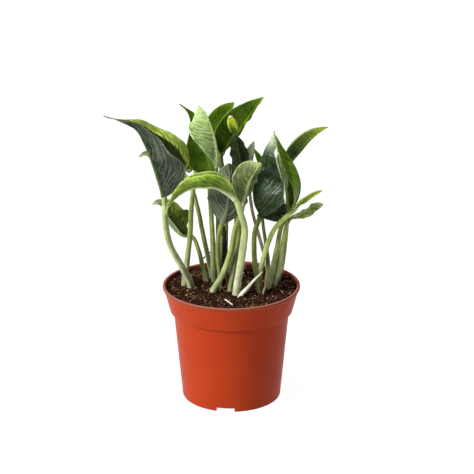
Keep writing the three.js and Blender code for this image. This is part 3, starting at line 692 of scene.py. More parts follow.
def leaf_skin(name, deep, light, vein, rib, tip, rim, roughness=0.36, streak=0.5, vein_share=0.3,
              tip_from=0.78, balance=0.5, grain=0.3, gloss=0.12, specks=0.25):
    """Waxy leaf tissue: tones by noise, then veins, midrib, tip and margin from the blade's marks."""
    material, tree, shader = new_material(name, roughness, 1.45, gloss)
    marks = {key: carried(tree, key) for key in ("along", "vein", "rib", "rim", "shade")}
    spot = object_spot(tree)
    blade = add(tree, "ShaderNodeUVMap", uv_map="blade")
    mottle = noise_at(tree, spot, MOTTLE_MM, 5, 0.6)
    strand_at = add(tree, "ShaderNodeMapping", {"Vector": blade, "Scale": (1.9, 1.0, 1)})
    strand = add(tree, "ShaderNodeTexNoise", {"Vector": strand_at, "Scale": 1.0, "Detail": 4,
                                              "Roughness": 0.65})
    pattern = add(tree, "ShaderNodeMix", {0: streak, 2: mottle, 3: strand})
    colour = mixed(tree, remap(tree, pattern, balance - 0.1, balance + 0.1), deep, light)
    veins = maths(tree, "MULTIPLY", marks["vein"], vein_share)
    near_tip = remap(tree, marks["along"], tip_from, 1, interpolation_type="SMOOTHSTEP")
    for share, layer in ((veins, vein), (near_tip, tip), (marks["rib"], rib), (marks["rim"], rim)):
        colour = mixed(tree, share, colour, layer)
    pores = noise_at(tree, spot, PORE_MM, 2)
    speck = remap(tree, pores, 0.35, 0.65, 1 - specks, 1 + specks)
    # The shade mark multiplies in the painted light and shade of the blade's zones.
    value = maths(tree, "MULTIPLY", speck, marks["shade"])
    relief = add(tree, "ShaderNodeMix", {0: 0.35, 2: strand, 3: pores})
    dress(tree, shader, toned(tree, colour, value), relief, grain, 0.6)
    return material


SKIN_TONES = {
    "grey_under": (
        "0a1305 525f48 93a28e 4f5f30 eaf0c4 76846a",
        dict(roughness=0.24, streak=0.8, tip_from=0.74, balance=0.54, grain=1.0, gloss=0.18, specks=0.35)),
    "band_upper": (
        "7c9626 cbe566 dbee8c a8bc60 dfe69a e2ecb4",
        dict(roughness=0.3, streak=0.8, vein_share=0.5, tip_from=0.85)),
    "bright_upper": (
        "486012 86a030 a2b950 b6c878 a9bd50 c4d284",
        dict(roughness=0.3, streak=0.6, vein_share=0.5)),
    "glossy_green": (
        "2a4800 7e9e0c 8ea63c d2dcb2 8ea43c a8b85c",
        dict(roughness=0.16, grain=0.7, gloss=0.45)),
    "pale_mottled": (
        "3c640a aacb66 dcebb8 c6d894 b6ca88 e4eecc",
        dict(roughness=0.3, streak=0.75, vein_share=0.6, tip_from=0.6, balance=0.52, grain=0.9)),
    "upright_green": ("3a5408 6a8826 7c9838 849a48 6e8838 90a650", dict(streak=0.7)),
    "deep_smooth": (
        "3b570a 5c7c1c 6a882c 6e8832 6a8634 7c9634",
        dict(roughness=0.38, streak=0.3, vein_share=0.25, grain=0.12)),
    "mid_smooth": ("2c4404 4d680e 587418 748c34 5f7a18 809a3c", dict(streak=0.4, grain=0.15)),
    "blackish": (
        "0a1203 2d3c12 4a5a28 485630 42541c 7a8a50",
        dict(streak=0.7, vein_share=0.5, gloss=0.15)),
    "dull_pale": ("c0d4a0 f0fadc eef8da eef8da e0ecc6 f0f8dc", dict(roughness=0.4)),
    "pale_grey": ("566840 86986a 9aab7e a8b688 90a272 a8b688", dict(roughness=0.42)),
    "crinkled": (
        "2c3814 76864e a2b07c a6b27c a2b070 b4c08c",
        dict(roughness=0.42, streak=0.75, vein_share=0.55, balance=0.52, grain=1.0)),
    "slate": (
        "242e1c 5c6650 a2ac8e 86926f 5a684a 96a282",
        dict(roughness=0.42, streak=0.8, vein_share=0.7, grain=0.9)),
    "teal": (
        "0a1c04 364c2a 7c9678 3f5a1a d0e0ba b4c8a2",
        dict(roughness=0.22, streak=0.6, vein_share=0.28, tip_from=0.72, grain=1.0, gloss=0.3)),
    # The very deep skin is painted shade as well as deep green: near black, it covers the inner faces of
    # cupped and folded blades, where shade falls.
    "very_deep": ("0a1404 26340f 28361a 36481c 3f5622 60783a", dict()),
    "far_green": (
        "142c00 466208 5f7c22 5c7a30 a0bc34 8ca44c",
        dict(roughness=0.32, streak=0.6, vein_share=0.5, tip_from=0.3)),
    "new_green": ("8ba02c c2d66c d2e088 d2e088 c8da70 d2e094", dict(roughness=0.3, vein_share=0.4)),
    "crumpled": (
        "486210 a6bc60 b2c288 a8b67c b0bc92 acba88",
        dict(streak=0.6, vein_share=0.4, grain=0.6)),
    "curl_pale": ("5c7a2c a9c080 c8d8a4 c2d098 b4c48c d2deb4", dict(vein_share=0.5, grain=0.6)),
    "cup_inside": (
        "1a2a06 627828 9aa848 96a560 a0aa8c a0ac84",
        dict(roughness=0.34, streak=0.85, vein_share=0.35)),
}
LEAF_SKINS = {name: leaf_skin("leaf_skin_" + name, *tones.split(), **finish)
              for name, (tones, finish) in SKIN_TONES.items()}
print("leaf skins:", len(LEAF_SKINS))

# %% [markdown]
# ## The leaves
# Each leaf has a route: its stalk rises from the soil and its midrib goes on from it. The blade has
# a left and a right half. turn is how far a half is turned out of the picture's plane at its base,
# middle and tip: past 90 degrees it is folded over. The same values make the CAD solids.

# %% Leaf forms
def half(width, turn, curl, wave, waves, **form):
    """Half a blade: its width and the height of its margin's waves in mm, turn and curl in degrees."""
    return dict(width=width, turn=turn, curl=curl, wave=wave, waves=waves, **form)


def leaf_form(stalk, midrib, thick, rings, columns, outline, left, right):
    """A leaf: two routes, the stalk's radii at foot and top, the coarse grid's counts and two halves.

    outline says where a blade is widest and how blunt its base is.
    """
    return dict(stalk=stalk, midrib=midrib, thick=thick, rings=rings, columns=columns,
                outline=outline, left=left, right=right)


LEAVES = {
    "big_left": leaf_form(
        [[-31, -2, 89], [-36.5, -8, 105], [-46, -14, 127], [-48.8, -18, 145], [-49, -20, 159]],
        [[-49.4, -20, 166], [-53.2, -21, 181], [-57.8, -21, 195], [-62.6, -21, 207], [-68.6, -22, 218],
         [-77.5, -24, 223.5], [-92, -26, 229]],
        [2.6, 2.2], 16, 4, [0.28, 0.85],
        half(31, [206, 213, 216, 209, 211, 224, 224, 195, 190], 4, 0.6, 4, outline=[0.28, 1]),
        half(24.4, [40, 26, 18, 34, 30, 24, 32, 0, 0], 12, 0.8, 5, outline=[0.26, 0.9])),
    "arching": leaf_form(
        [[4, -18, 89], [6, -24, 108], [9, -28, 129], [10, -31, 146], [7, -33, 158]],
        [[3, -34, 169], [-4, -35, 175], [-12, -36, 179], [-20, -36, 179], [-28, -35, 178],
         [-34.5, -34, 174.5], [-41.5, -33, 168.5], [-46.5, -32, 162], [-48, -31, 156]],
        [3, 2.5], 15, 3, [0.34, 1],
        half(11, [215, 215, 205], -20, 0.3, 3), half(14, [75, 80, 60], -95, 0.3, 3)),
    "pale_hood": leaf_form(
        [[-9, 16, 89], [-10, 8, 115], [-10, 8, 136], [-10, 4, 156], [-11, 0, 171]],
        [[-11, -3, 184], [-11, -5, 193], [-12, -8, 206], [-15, -9, 217], [-19, -8, 227],
         [-24, -6, 232]],
        [2.1, 1.6], 11, 4, [0.7, 1.1],
        half(16.8, [40, 26, 5], -38, 0.5, 4), half(8, [215, 215, 210], 0, 0.3, 2)),
    "hood_back": leaf_form(
        [[-14, 10, 89], [-14, 6, 117], [-15, 3, 145], [-16, 0, 165]],
        [[-16, -1, 175], [-17, 3, 184], [-20, 6, 197], [-23, 8, 210], [-25, 8, 221]],
        [2.4, 1.9], 9, 3, [0.35, 0.5],
        half(16, [8, 6, 10], 35, 0.5, 2), half(8, [0, 6, 10], 10, 0.3, 2)),
    "top_broad": leaf_form(
        [[-9, 26, 89], [-7, 24, 117], [-7, 24, 150], [-8, 22, 174]],
        [[-9, 20, 189], [-9, 20, 200], [-6, 20, 212], [-2, 19, 222], [2, 18, 228]],
        [1.9, 1.4], 9, 3, [0.45, 0.8],
        half(13, [-6, -4, -8], -12, 0.4, 2), half(7, [20, 20, 20], 10, 0.4, 2)),
    "top_right": leaf_form(
        [[-5, 22, 89], [-4, 16, 120], [-4, 16, 152], [-6, 14, 177]],
        [[-7, 13, 189], [-2, 12, 198], [5, 11, 208], [12, 12, 218], [18, 13, 226], [24, 14, 233]],
        [1.9, 1.4], 12, 3, [0.4, 0.7],
        half(16, [10, 5, 0], 10, 0.4, 3), half(8, [82, 78, 66], 8, 1, 4)),
    "top_back": leaf_form(
        [[-36, 3, 89], [-34, 1, 106], [-31, 0, 133], [-30, 2, 152]],
        [[-27, 17, 177], [-26, 25, 191], [-26, 28, 205], [-30, 27, 216], [-39, 25, 225]],
        [2.3, 1.7], 9, 2, [0.3, 0.6],
        half(10, [15, 15, 10], 10, 0.4, 2, outline=[0.2, 0.4], lobe=17),
        half(7, [0, 0, 10], 0, 0.4, 2, lobe=10)),
    "twisted": leaf_form(
        [[-1, -12, 89], [3, -9, 112], [6, -2, 132], [8, 3, 154], [8, 0, 171]],
        [[7, -3, 179], [7, -5, 187], [6, -7, 195], [4, -8, 203], [2, -8, 210]],
        [1.9, 1.4], 10, 3, [0.42, 0.35],
        half(10.5, [-20, -30, -40], -40, 0.6, 3), half(9, [-20, -25, -40], -40, 0.6, 3)),
    "small_pale": leaf_form(
        [[29, 15, 89], [25, 15, 109], [20, 14, 128], [16, 13, 144], [14, 13, 159]],
        [[13, 12, 176], [13, 12, 185], [15, 11, 192], [17, 10, 200]],
        [1.6, 1.1], 7, 2, [0.4, 0.6],
        half(6, [10, 10, 10], 20, 0.2, 2), half(4, [30, 30, 30], 20, 0.2, 2)),
    "crinkled_centre": leaf_form(
        [[-14, -15, 89], [-7, -14, 102], [0, -12, 123], [3, -14, 140]],
        [[7, -19, 152], [9, -22, 162], [12, -25, 174], [16, -27, 185], [22, -28, 194]],
        [2.3, 1.7], 12, 4, [0.62, 1.1],
        half(14, [-10, -15, -10], -20, 1.1, 4), half(5.5, [-15, -20, -15], -40, 1.3, 5)),
    "ruffled_back": leaf_form(
        [[-8, 7, 89], [-10, 1, 110], [-10, -2, 127]],
        [[-7, -5, 141], [-4, -10, 151], [-2, -13, 163], [-1, -14, 173], [-1, -14, 181],
         [-2, -13.5, 190]],
        [2.2, 1.8], 12, 4, [0.4, 0.4],
        half(17.5, [-20, -15, -15], -25, 1, 4, lobe=3), half(15, [-20, -15, -15], -45, 1, 4, lobe=7)),
    "teal_cup": leaf_form(
        [[22, -12, 89], [19, -15, 104], [17, -16, 123], [18, -14, 139]],
        [[21, -11, 147], [17.3, -12, 158], [16.2, -13, 172], [18, -14, 186], [22.5, -13, 194],
         [25, -11, 200], [28.5, -9, 206], [31.5, -7, 213]],
        [2.3, 1.8], 14, 4, [0.36, 0.62],
        half(24, [200, 191, 180, 186, 190], 5, 0.4, 3, outline=[0.24, 0.5], lobe=27),
        half(28.5, [40, 40, 58, 66, 56, 42, 100, 70, 20], -65, 0.4, 3, outline=[0.36, 0.7], lobe=9)),
    "upright_right": leaf_form(
        [[29, -8, 89], [31, -6, 103], [35, -2, 122], [38, 2, 136]],
        [[44, 2, 148], [49, 3, 155], [52, 4, 167], [49, 5, 179], [44, 6, 188], [38, 6, 197],
         [33, 5, 206]],
        [2.2, 1.7], 13, 3, [0.4, 0.7],
        half(14, [68, 48, 40], 18, 0.4, 3), half(12, [165, 165, 165], -10, 0.4, 3)),
    "far_right": leaf_form(
        [[37, 15, 89], [39.5, 18.5, 101], [42, 21, 122], [43, 21, 142], [43, 20, 163]],
        [[42, 19, 175], [47, 18, 183], [52.5, 17, 190], [58.5, 16, 198], [64.7, 15, 204.5],
         [72, 14, 210]],
        [1.9, 1.4], 10, 2, [0.4, 0.6],
        half(12, [25, 20, 20], 15, 0.3, 2), half(10, [205, 200, 195], 0, 0.3, 2)),
    "bright_new": leaf_form(
        [[22, 7, 89], [23, 0, 105], [27, -3, 121], [33, -6, 137], [40, -8, 146]],
        [[47, -8, 152], [51, -8, 157], [57, -7, 161], [62, -6, 164], [68, -4, 166]],
        [2.1, 1.8], 9, 2, [0.45, 0.6],
        half(4, [40, 30, 20], 30, 0.2, 2), half(3.5, [60, 50, 40], 30, 0.2, 2)),
    "crumpled": leaf_form(
        [[34, 9, 89], [37, 8, 109], [40, 6, 126], [42, 2, 137]],
        [[45, -1, 143], [50, -2, 146], [56, -2, 149], [62, -2, 153], [69, -1, 154]],
        [1.9, 1.3], 10, 2, [0.55, 0.8],
        half(4.5, [30, 30, 20], 30, 0.7, 4), half(5, [30, 20, 20], -30, 0.9, 4)),
    "small_curl": leaf_form(
        [[33, -6, 89], [36.5, -6, 105], [39, -4.5, 122], [41.5, -2, 140], [42, -1.6, 156]],
        [[41, -1.8, 168], [39.5, -2.4, 176], [37, -3, 183], [35.8, -3, 189], [34.8, -3, 195]],
        [1.5, 1.1], 9, 2, [0.45, 0.5],
        half(4, [10, 10, 10], 30, 0.7, 4), half(4.5, [30, 30, 30], 80, 0.6, 3)),
    "spiky": leaf_form(
        [[27, 2, 89], [28, 2, 107], [26, 5, 122], [24, 6, 136], [23, 6, 151]],
        [[25, 5, 168], [24, 4, 178], [22, 2, 187], [17, 0, 197]],
        [1.6, 1.1], 7, 2, [0.4, 0.6],
        half(4, [20, 20, 20], 20, 0.3, 2), half(4, [20, 20, 20], 20, 0.3, 2)),
    "low_cup": leaf_form(
        [[-19, 7, 89], [-22, 8, 100], [-25, 8, 114]],
        [[-31, 8, 126], [-37, 7, 127], [-42, 6, 131], [-46, 5, 136], [-49, 3, 143], [-51, 2, 150],
         [-54, 1, 153.5], [-59.5, 1, 153.5]],
        [2, 1.5], 12, 4, [0.4, 0.75],
        half(5, [100, 120, 80], 20, 0.3, 3), half(18.5, [-25, -25, -10], 30, 0.5, 3)),
    "far_left": leaf_form(
        [[-15, 19, 89], [-18, 14, 106], [-22, 17, 125], [-26, 22, 144]],
        [[-31, 27, 158], [-39, 30, 165], [-49, 32, 174], [-59, 32, 183], [-65, 31, 185],
         [-71, 30, 182]],
        [2.1, 1.6], 9, 2, [0.35, 0.6],
        half(9, [20, 20, 20], 20, 0.4, 2), half(9, [20, 20, 20], 20, 0.4, 2)),
}

# %% [markdown]
# The second table says how each blade looks: the skins of the side that faces the front and of the
# other side, which of the two is the upper one, the record's slot, how many side veins a half has,
# how far they lean to the tip, and how strongly the tissue puckers between them and crumples as a
# whole, in mm. The third table paints light and shade onto parts of a half: painted shade in folds,
# under overhangs and where a half turns from the light, painted highlights and lit strips where it
# catches the light, and a few pale fold and margin lines. Each entry says from where to where across
# the half and along it, and how much darker or lighter. A limit across that moves along the blade,
# such as a fold line, is a list from its base to its tip. Only the faces that look to the front are
# known, so the faces behind them take milder painted light and shade.

# %% Leaf looks
LOOKS = {
    "big_left": ("grey_under", "band_upper", "back", "leaf_grey_green", 15, 0.42, 0.5, 0.8),
    "arching": ("glossy_green", "bright_upper", "back", "leaf_bright_green", 9, 0.3, 0.2, 0.6),
    "pale_hood": ("pale_mottled", "mid_smooth", "back", "leaf_pale_green", 15, 0.22, 0.6, 0.9),
    "hood_back": ("deep_smooth", "pale_grey", "front", "leaf_dark_green", 9, 0.25, 0.1, 0.4),
    "top_broad": ("mid_smooth", "pale_grey", "front", "leaf_mid_green", 9, 0.3, 0.12, 0.5),
    "top_right": ("mid_smooth", "crinkled", "front", "leaf_mid_green", 10, 0.3, 0.15, 0.6),
    "top_back": ("mid_smooth", "pale_grey", "front", "leaf_mid_green", 8, 0.3, 0.12, 0.4),
    "twisted": ("blackish", "mid_smooth", "front", "leaf_dark_green", 9, 0.3, 0.3, 0.9),
    "small_pale": ("dull_pale", "mid_smooth", "back", "leaf_pale_green", 7, 0.3, 0.25, 0.4),
    "crinkled_centre": ("crinkled", "very_deep", "back", "leaf_grey_green", 11, 0.28, 0.7, 1.6),
    "ruffled_back": ("slate", "very_deep", "back", "leaf_grey_green", 11, 0.3, 0.7, 1.5),
    "teal_cup": ("teal", "very_deep", "front", "leaf_teal_green", 14, 0.5, 0.36, 0.9),
    "upright_right": ("upright_green", "upright_green", "front", "leaf_mid_green", 10, 0.3, 0.2, 0.6),
    "far_right": ("far_green", "pale_grey", "front", "leaf_dark_green", 9, 0.3, 0.25, 0.5),
    "bright_new": ("new_green", "new_green", "front", "leaf_yellow_green", 7, 0.3, 0.12, 0.3),
    "crumpled": ("crumpled", "very_deep", "front", "leaf_mid_green", 8, 0.3, 0.4, 1.1),
    "small_curl": ("curl_pale", "mid_smooth", "front", "leaf_pale_green", 6, 0.3, 0.4, 0.8),
    "spiky": ("deep_smooth", "mid_smooth", "front", "leaf_dark_green", 6, 0.3, 0.1, 0.3),
    "low_cup": ("cup_inside", "pale_grey", "front", "leaf_dark_green", 10, 0.32, 0.3, 0.7),
    "far_left": ("pale_grey", "mid_smooth", "front", "leaf_mid_green", 7, 0.3, 0.15, 0.4),
}
BIG_FOLD = [1, 0.95, 0.88, 0.77, 0.72, 0.66, 0.6, 0.58, 0.7, 0.8, 0.8]
BIG_FOLD_END = [1, 1, 0.94, 0.83, 0.78, 0.72, 0.66, 0.64, 0.8, 1, 1]
UPRIGHT_FOLD = [1, 1, 1, 0.63, 0.43, 0.34, 0.24, 0.24, 0.24]
UPRIGHT_FOLD_END = [1, 1, 1, 0.71, 0.51, 0.42, 0.32, 0.32, 0.32]
# Painted light and shade: each zone is made darker as painted shade or lighter as a painted highlight.
PAINTED_LIGHT_TABLE = {
    # big_left: painted shade in the fold next to the midrib, a pale line along the fold, and painted shade
    # on the base and upper part of the near half.
    "big_left": [("left", 0, BIG_FOLD, 0.05, 0.85, 0.13),
                 ("left", BIG_FOLD, BIG_FOLD_END, 0.2, 0.85, 1.7),
                 ("right", 0, 1, 0, 0.35, 0.75), ("right", 0, 1, 0.55, 0.88, 0.72)],
    # arching: painted shade on the lower part of the near half, and painted highlights where the top of
    # the arch catches the light.
    "arching": [("right", 0, 0.85, 0, 0.3, 0.75), ("right", 0.25, 0.7, 0.1, 0.8, 0.75),
                ("right", 0.7, 0.97, 0.3, 0.5, 1.7), ("right", 0.75, 0.97, 0.1, 0.26, 1.8)],
    "pale_hood": [("left", 0, 1, 0, 0.55, 0.84), ("right", 0, 1, 0, 0.55, 0.84)],
    "top_right": [("right", 0, 0.6, 0.1, 0.95, 1.3), ("right", 0.75, 1, 0.1, 0.95, 0.2)],
    "crinkled_centre": [("left", 0.2, 1, 0.15, 0.6, 0.75)],
    "twisted": [("left", 0, 1, 0, 1, 0.6), ("right", 0.4, 1, 0, 1, 1.8)],
    "teal_cup": [("left", 0, 1, 0, 0.6, 0.8), ("right", 0.3, 0.95, 0.3, 0.75, 0.85),
                 ("right", 0.96, 1, 0.05, 0.7, 1.9)],
    "far_right": [("left", 0.25, 1, 0, 0.8, 0.6)],
    "upright_right": [("left", 0, UPRIGHT_FOLD, 0, 0.67, 1.6),
                      ("left", UPRIGHT_FOLD, UPRIGHT_FOLD_END, 0.1, 0.67, 2.2)],
}
print("leaves:", len(LEAVES), "looks:", len(LOOKS), "toned:", len(PAINTED_LIGHT_TABLE))

# %% [markdown]
# ## Blade form
# A blade could be modelled by hand with a subdivision surface. Here a coarse grid is worked out by
# the rule that the CAD uses, and a smooth curve is then drawn through it in both directions, which
# keeps the form and gives enough points for veins. The tissue between two veins is lifted towards
# the upper side, so the veins lie in furrows there and stand out on the lower side.

# %% Blade grid
TIP_HALF_WIDTH, LOBE_ROUND, BLADE = 0.45, 2.2, 0.8


def between(keys, u):
    """Evenly spaced values read at places from 0 to 1."""
    return np.interp(u, np.linspace(0, 1, len(keys)), keys)


def coarse_half(leaf, half, sign, route, start):
    """The CAD grid of one half: rings along the midrib, columns from the midrib to the margin."""
    u = np.linspace(0, 1, leaf["rings"] + 1)
    place, along, side, front = route.frames(start + (route.length - start) * u)
    widest, blunt = half.get("outline", leaf["outline"])
    swell = (u / widest) ** blunt * ((1 - u) / (1 - widest)) ** (blunt * (1 / widest - 1))
    least = leaf["thick"][1] * 0.8 * (1 - u) + TIP_HALF_WIDTH * u
    width = np.maximum(half["width"] * swell, least)
    columns = leaf["columns"]
    grid = [place]
    point = place.copy()
    for j in range(1, columns + 1):
        angle = np.radians(between(half["turn"], u) + half["curl"] * (j - 0.5) / columns)[:, None]
        across = side * sign * np.cos(angle) + front * np.sin(angle)
        point = point + across * width[:, None] / columns
        s = j / columns
        lobe = half.get("lobe", 0) * math.sin(LOBE_ROUND * s) * swell * (1 - u) ** 3
        lift = half["wave"] * s * s * np.sin(math.pi * u) * np.sin(2 * math.pi * half["waves"] * u)
        rise = front * np.cos(angle) - side * sign * np.sin(angle)
        grid.append(point + rise * lift[:, None] - along * lobe[:, None])
    return np.stack(grid, axis=1), width


def cubic_weights(count, where):
    """Weights that draw a smooth curve through evenly spaced points, at places from 0 to 1."""
    t = np.asarray(where) * (count - 1)
    i = np.minimum(t.astype(int), count - 2)
    f = t - i
    rows = np.arange(len(t))
    weights = np.zeros((len(t), count))
    weights[rows, i] += 2 * f ** 3 - 3 * f ** 2 + 1
    weights[rows, i + 1] += 3 * f ** 2 - 2 * f ** 3
    for knot, share in ((i, f ** 3 - 2 * f ** 2 + f), (i + 1, f ** 3 - f ** 2)):
        low, high = np.maximum(knot - 1, 0), np.minimum(knot + 1, count - 1)
        np.add.at(weights, (rows, high), share / (high - low))
        np.add.at(weights, (rows, low), -share / (high - low))
    return weights


print("weights halfway between two of three points:", cubic_weights(3, [0.25])[0])


# %% [markdown]
# The fine grid has several points between two of the coarse ones, closer together near the midrib.
# Each point knows how far across it is, from -1 at the left margin to 1 at the right, and how far
# along. Side veins come at even steps along the midrib and wander a little, and fine veins lie
# between them. Near the midrib, the margin, the base and the tip the tissue lies calm.

# %% Fine grid and veins
RING_SPLIT, COLUMN_SPLIT, CROWD = 8, 9, 1.25
WANDER_MM, FADE_MM, FOLD_MM, FINE_FOLD_MM = 9, 13, 11, 5
VEIN_WIDTH, VEIN_BEND, SMALL_VEIN_SHARE = 0.65, 1.4, 0.35
CALM_RIB, CALM_RIM, CALM_BASE, CALM_TIP = 0.12, 0.1, 0.06, 0.12
FADE_MIDDLE, FADE_SPREAD, FADE_LEAST = 0.65, 1.1, 0.1


def noise_field(points, size, seed):
    """Smooth noise from -1 to 1 at each point of a grid, with blobs of that size in mm."""
    shift = Vector((seed * 7.3, seed * 3.1, seed * 5.7))
    flat = [noise.noise(Vector(p) / size + shift) for p in points.reshape(-1, 3)]
    return np.array(flat).reshape(points.shape[:-1])


def soft_range(values, low, high):
    """1 between two limits and 0 outside, with soft edges."""
    edge = 0.05
    return np.clip((values - low) / edge + 0.5, 0, 1) * np.clip((high - values) / edge + 0.5, 0, 1)


def eased(values, start, end):
    """1 in the middle of 0 to 1, falling to 0 over a short way at its start and at its end."""
    return np.clip(values / start, 0, 1) * np.clip((1 - values) / end, 0, 1)


def fine_grid(leaf, route, start):
    """Points of a blade, and for each how far across and along it is and how wide its half is."""
    u = np.linspace(0, 1, leaf["rings"] * RING_SPLIT + 1)
    s = np.linspace(0, 1, leaf["columns"] * COLUMN_SPLIT + 1) ** CROWD
    along_weights = cubic_weights(leaf["rings"] + 1, u)
    across_weights = cubic_weights(leaf["columns"] + 1, s)
    halves = []
    widths = []
    for key, sign in (("left", -1), ("right", 1)):
        coarse, width = coarse_half(leaf, leaf[key], sign, route, start)
        halves.append(np.einsum("ai,bj,ijk->abk", along_weights, across_weights, coarse))
        widths.append(np.interp(u, np.linspace(0, 1, leaf["rings"] + 1), width)[:, None])
    grid = np.concatenate([halves[0][:, :0:-1], halves[1]], axis=1)
    across = np.concatenate([-s[:0:-1], s])[None, :] * np.ones((len(u), 1))
    level = u[:, None] * np.ones_like(across)
    return grid, across, level, np.where(across < 0, *widths)


def side_veins(grid, across, level, count, lean, wander, apart, seed):
    """Where a point lies in the run of veins, how much it is on one, and how little it lies calm."""
    far = np.abs(across)
    phase = count * (level - lean * far ** VEIN_BEND) + 0.5 * (across > 0)
    phase += wander * noise_field(grid, WANDER_MM, seed)
    to_vein = np.abs(phase - np.round(phase)) * apart
    to_small = np.abs(phase * 2 - np.round(phase * 2)) * apart / 2
    free = eased(far, CALM_RIB, CALM_RIM) * eased(level, CALM_BASE, CALM_TIP)
    vein = np.exp(-(to_vein / VEIN_WIDTH) ** 2)
    vein = vein + SMALL_VEIN_SHARE * np.exp(-(to_small / VEIN_WIDTH) ** 2)
    fading = FADE_MIDDLE + FADE_SPREAD * noise_field(grid, FADE_MM, seed + 20)
    return phase, np.clip(vein, 0, 1) * free * np.clip(fading, FADE_LEAST, 1), free


print("eased at 0, a quarter and the middle:", eased(np.array([0, 0.25, 0.5]), 0.5, 0.5))

# %% [markdown]
# A blade is a closed sheet: a front, a back and the margin that joins them. The midrib stands out on
# the lower side. The mesh carries the marks that the finish asks for. The zones of painted light and
# shade are known only for the faces that look to the front, so the others get them in a mild form.

# %% Blade surface
RIM_WIDTH, RIB_SHARE, RIB_LEAST, EDGE_THINNING = 0.9, 0.9, 0.15, 0.6
PILLOW_ROUND, PILLOW_MIDDLE, FOLD_EASE = 0.8, 0.6, 0.15
MILD_PAINTED_LIGHT = (0.7, 1.3)
LEAST_WANDER, CRUMPLE_WANDER, STRAND_MM = 0.2, 0.4, 6


def painted_light_of_zones(name, across, level):
    """How much painted shade darkens and painted light lightens the listed zones of a blade."""
    shade = np.ones_like(level)
    for half, near, beyond, low, high, gain in PAINTED_LIGHT_TABLE.get(name, []):
        near, beyond = (between(np.atleast_1d(limit), level) for limit in (near, beyond))
        here = soft_range(np.abs(across), near, beyond) * soft_range(level, low, high)
        shade *= 1 + (gain - 1) * here * (across * (1 if half == "right" else -1) > 0)
    return shade


def sheet_faces(rows, wide):
    """Faces of a closed sheet, and for each one the number of the skin it shows."""
    index = np.arange(rows * wide).reshape(rows, wide)
    a, b, c, d = index[:-1, :-1], index[:-1, 1:], index[1:, 1:], index[1:, :-1]
    front = np.stack([a, b, c, d], axis=2).reshape(-1, 4)
    behind = front[:, ::-1] + index.size
    ring = np.concatenate([index[0, :-1], index[:-1, -1], index[-1, :0:-1], index[:0:-1, 0]])
    ahead = np.roll(ring, -1)
    margin = np.stack([ring, ring + index.size, ahead + index.size, ahead], axis=1)
    skins = [0] * len(front) + [1] * len(behind) + [0] * len(margin)
    return np.concatenate([front, behind, margin]).tolist(), skins


def build_blade(name, leaf, look, seed):
    """One finished blade: fine grid, puckers, both skins, the raised midrib and a closed margin."""
    front_skin, back_skin, upper, slot, veins, lean, pucker, crumple = look
    route = sunk_route(leaf["stalk"] + leaf["midrib"])
    start = route.marks[len(leaf["stalk"]) + 1]
    grid, across, level, reach = fine_grid(leaf, route, start)
    far = np.abs(across)
    normal = np.cross(np.gradient(grid, axis=1), np.gradient(grid, axis=0))
    normal /= np.maximum(np.linalg.norm(normal, axis=2, keepdims=True), 1e-9)

    wander = LEAST_WANDER + CRUMPLE_WANDER * crumple
    apart = (route.length - start) / veins
    phase, vein, free = side_veins(grid, across, level, veins, lean, wander, apart, seed)
    pillow = np.abs(np.sin(math.pi * phase)) ** PILLOW_ROUND - PILLOW_MIDDLE
    folds = noise_field(grid, FOLD_MM, seed + 40) + 0.5 * noise_field(grid, FINE_FOLD_MM, seed + 80)
    upward = 1 if upper == "front" else -1
    lift = upward * pucker * pillow * free
    lift = lift + crumple * folds * far ** 0.7 * eased(level, FOLD_EASE, FOLD_EASE)
    surface = grid + normal * lift[:, :, None]

    thick = BLADE / 2 * (1 - EDGE_THINNING * far ** 2)
    rib_size = leaf["thick"][1] * RIB_SHARE * (1 - level) ** 1.2 + RIB_LEAST
    rib = np.exp(-(far * reach / (rib_size * 0.9)) ** 2)
    front_lift = thick + (rib * rib_size if upper == "back" else 0)
    back_lift = thick + (rib * rib_size if upper == "front" else 0)
    points = np.stack([surface + normal * front_lift[:, :, None],
                       surface - normal * back_lift[:, :, None]]).reshape(-1, 3)

    marks = {"along": level, "vein": vein, "rib": np.clip(rib * 1.1, 0, 1) * (1 - 0.6 * level),
             "rim": np.clip(1 - (1 - far) * reach / RIM_WIDTH, 0, 1) ** 0.7}
    marks = {key: np.stack([values, values]) for key, values in marks.items()}
    # Painted light and shade from the zone table: full on faces that look to the front, milder on the
    # others.
    shade = painted_light_of_zones(name, across, level)
    mild = np.clip(shade, *MILD_PAINTED_LIGHT)
    to_front = normal[:, :, 1] < 0
    marks["shade"] = np.stack([np.where(to_front, shade, mild), np.where(to_front, mild, shade)])
    uv = np.stack([phase, across * reach / STRAND_MM], axis=2)
    faces, skins = sheet_faces(*level.shape)
    return new_piece("blade_" + name, points, faces, [LEAF_SKINS[front_skin], LEAF_SKINS[back_skin]],
                     ["leaf_" + name], marks, skins, np.stack([uv, uv]).reshape(-1, 2))


blades = [build_blade(name, leaf, LOOKS[name], seed)
          for seed, (name, leaf) in enumerate(LEAVES.items())]
print("blades:", len(blades), "faces:", sum(len(b.data.polygons) for b in blades))

# %% [markdown]
# ## The stalks
# Every stalk is the route tree with its own foot and top sizes. Each ends inside the base of its
# blade, where the real stalk turns into the midrib.

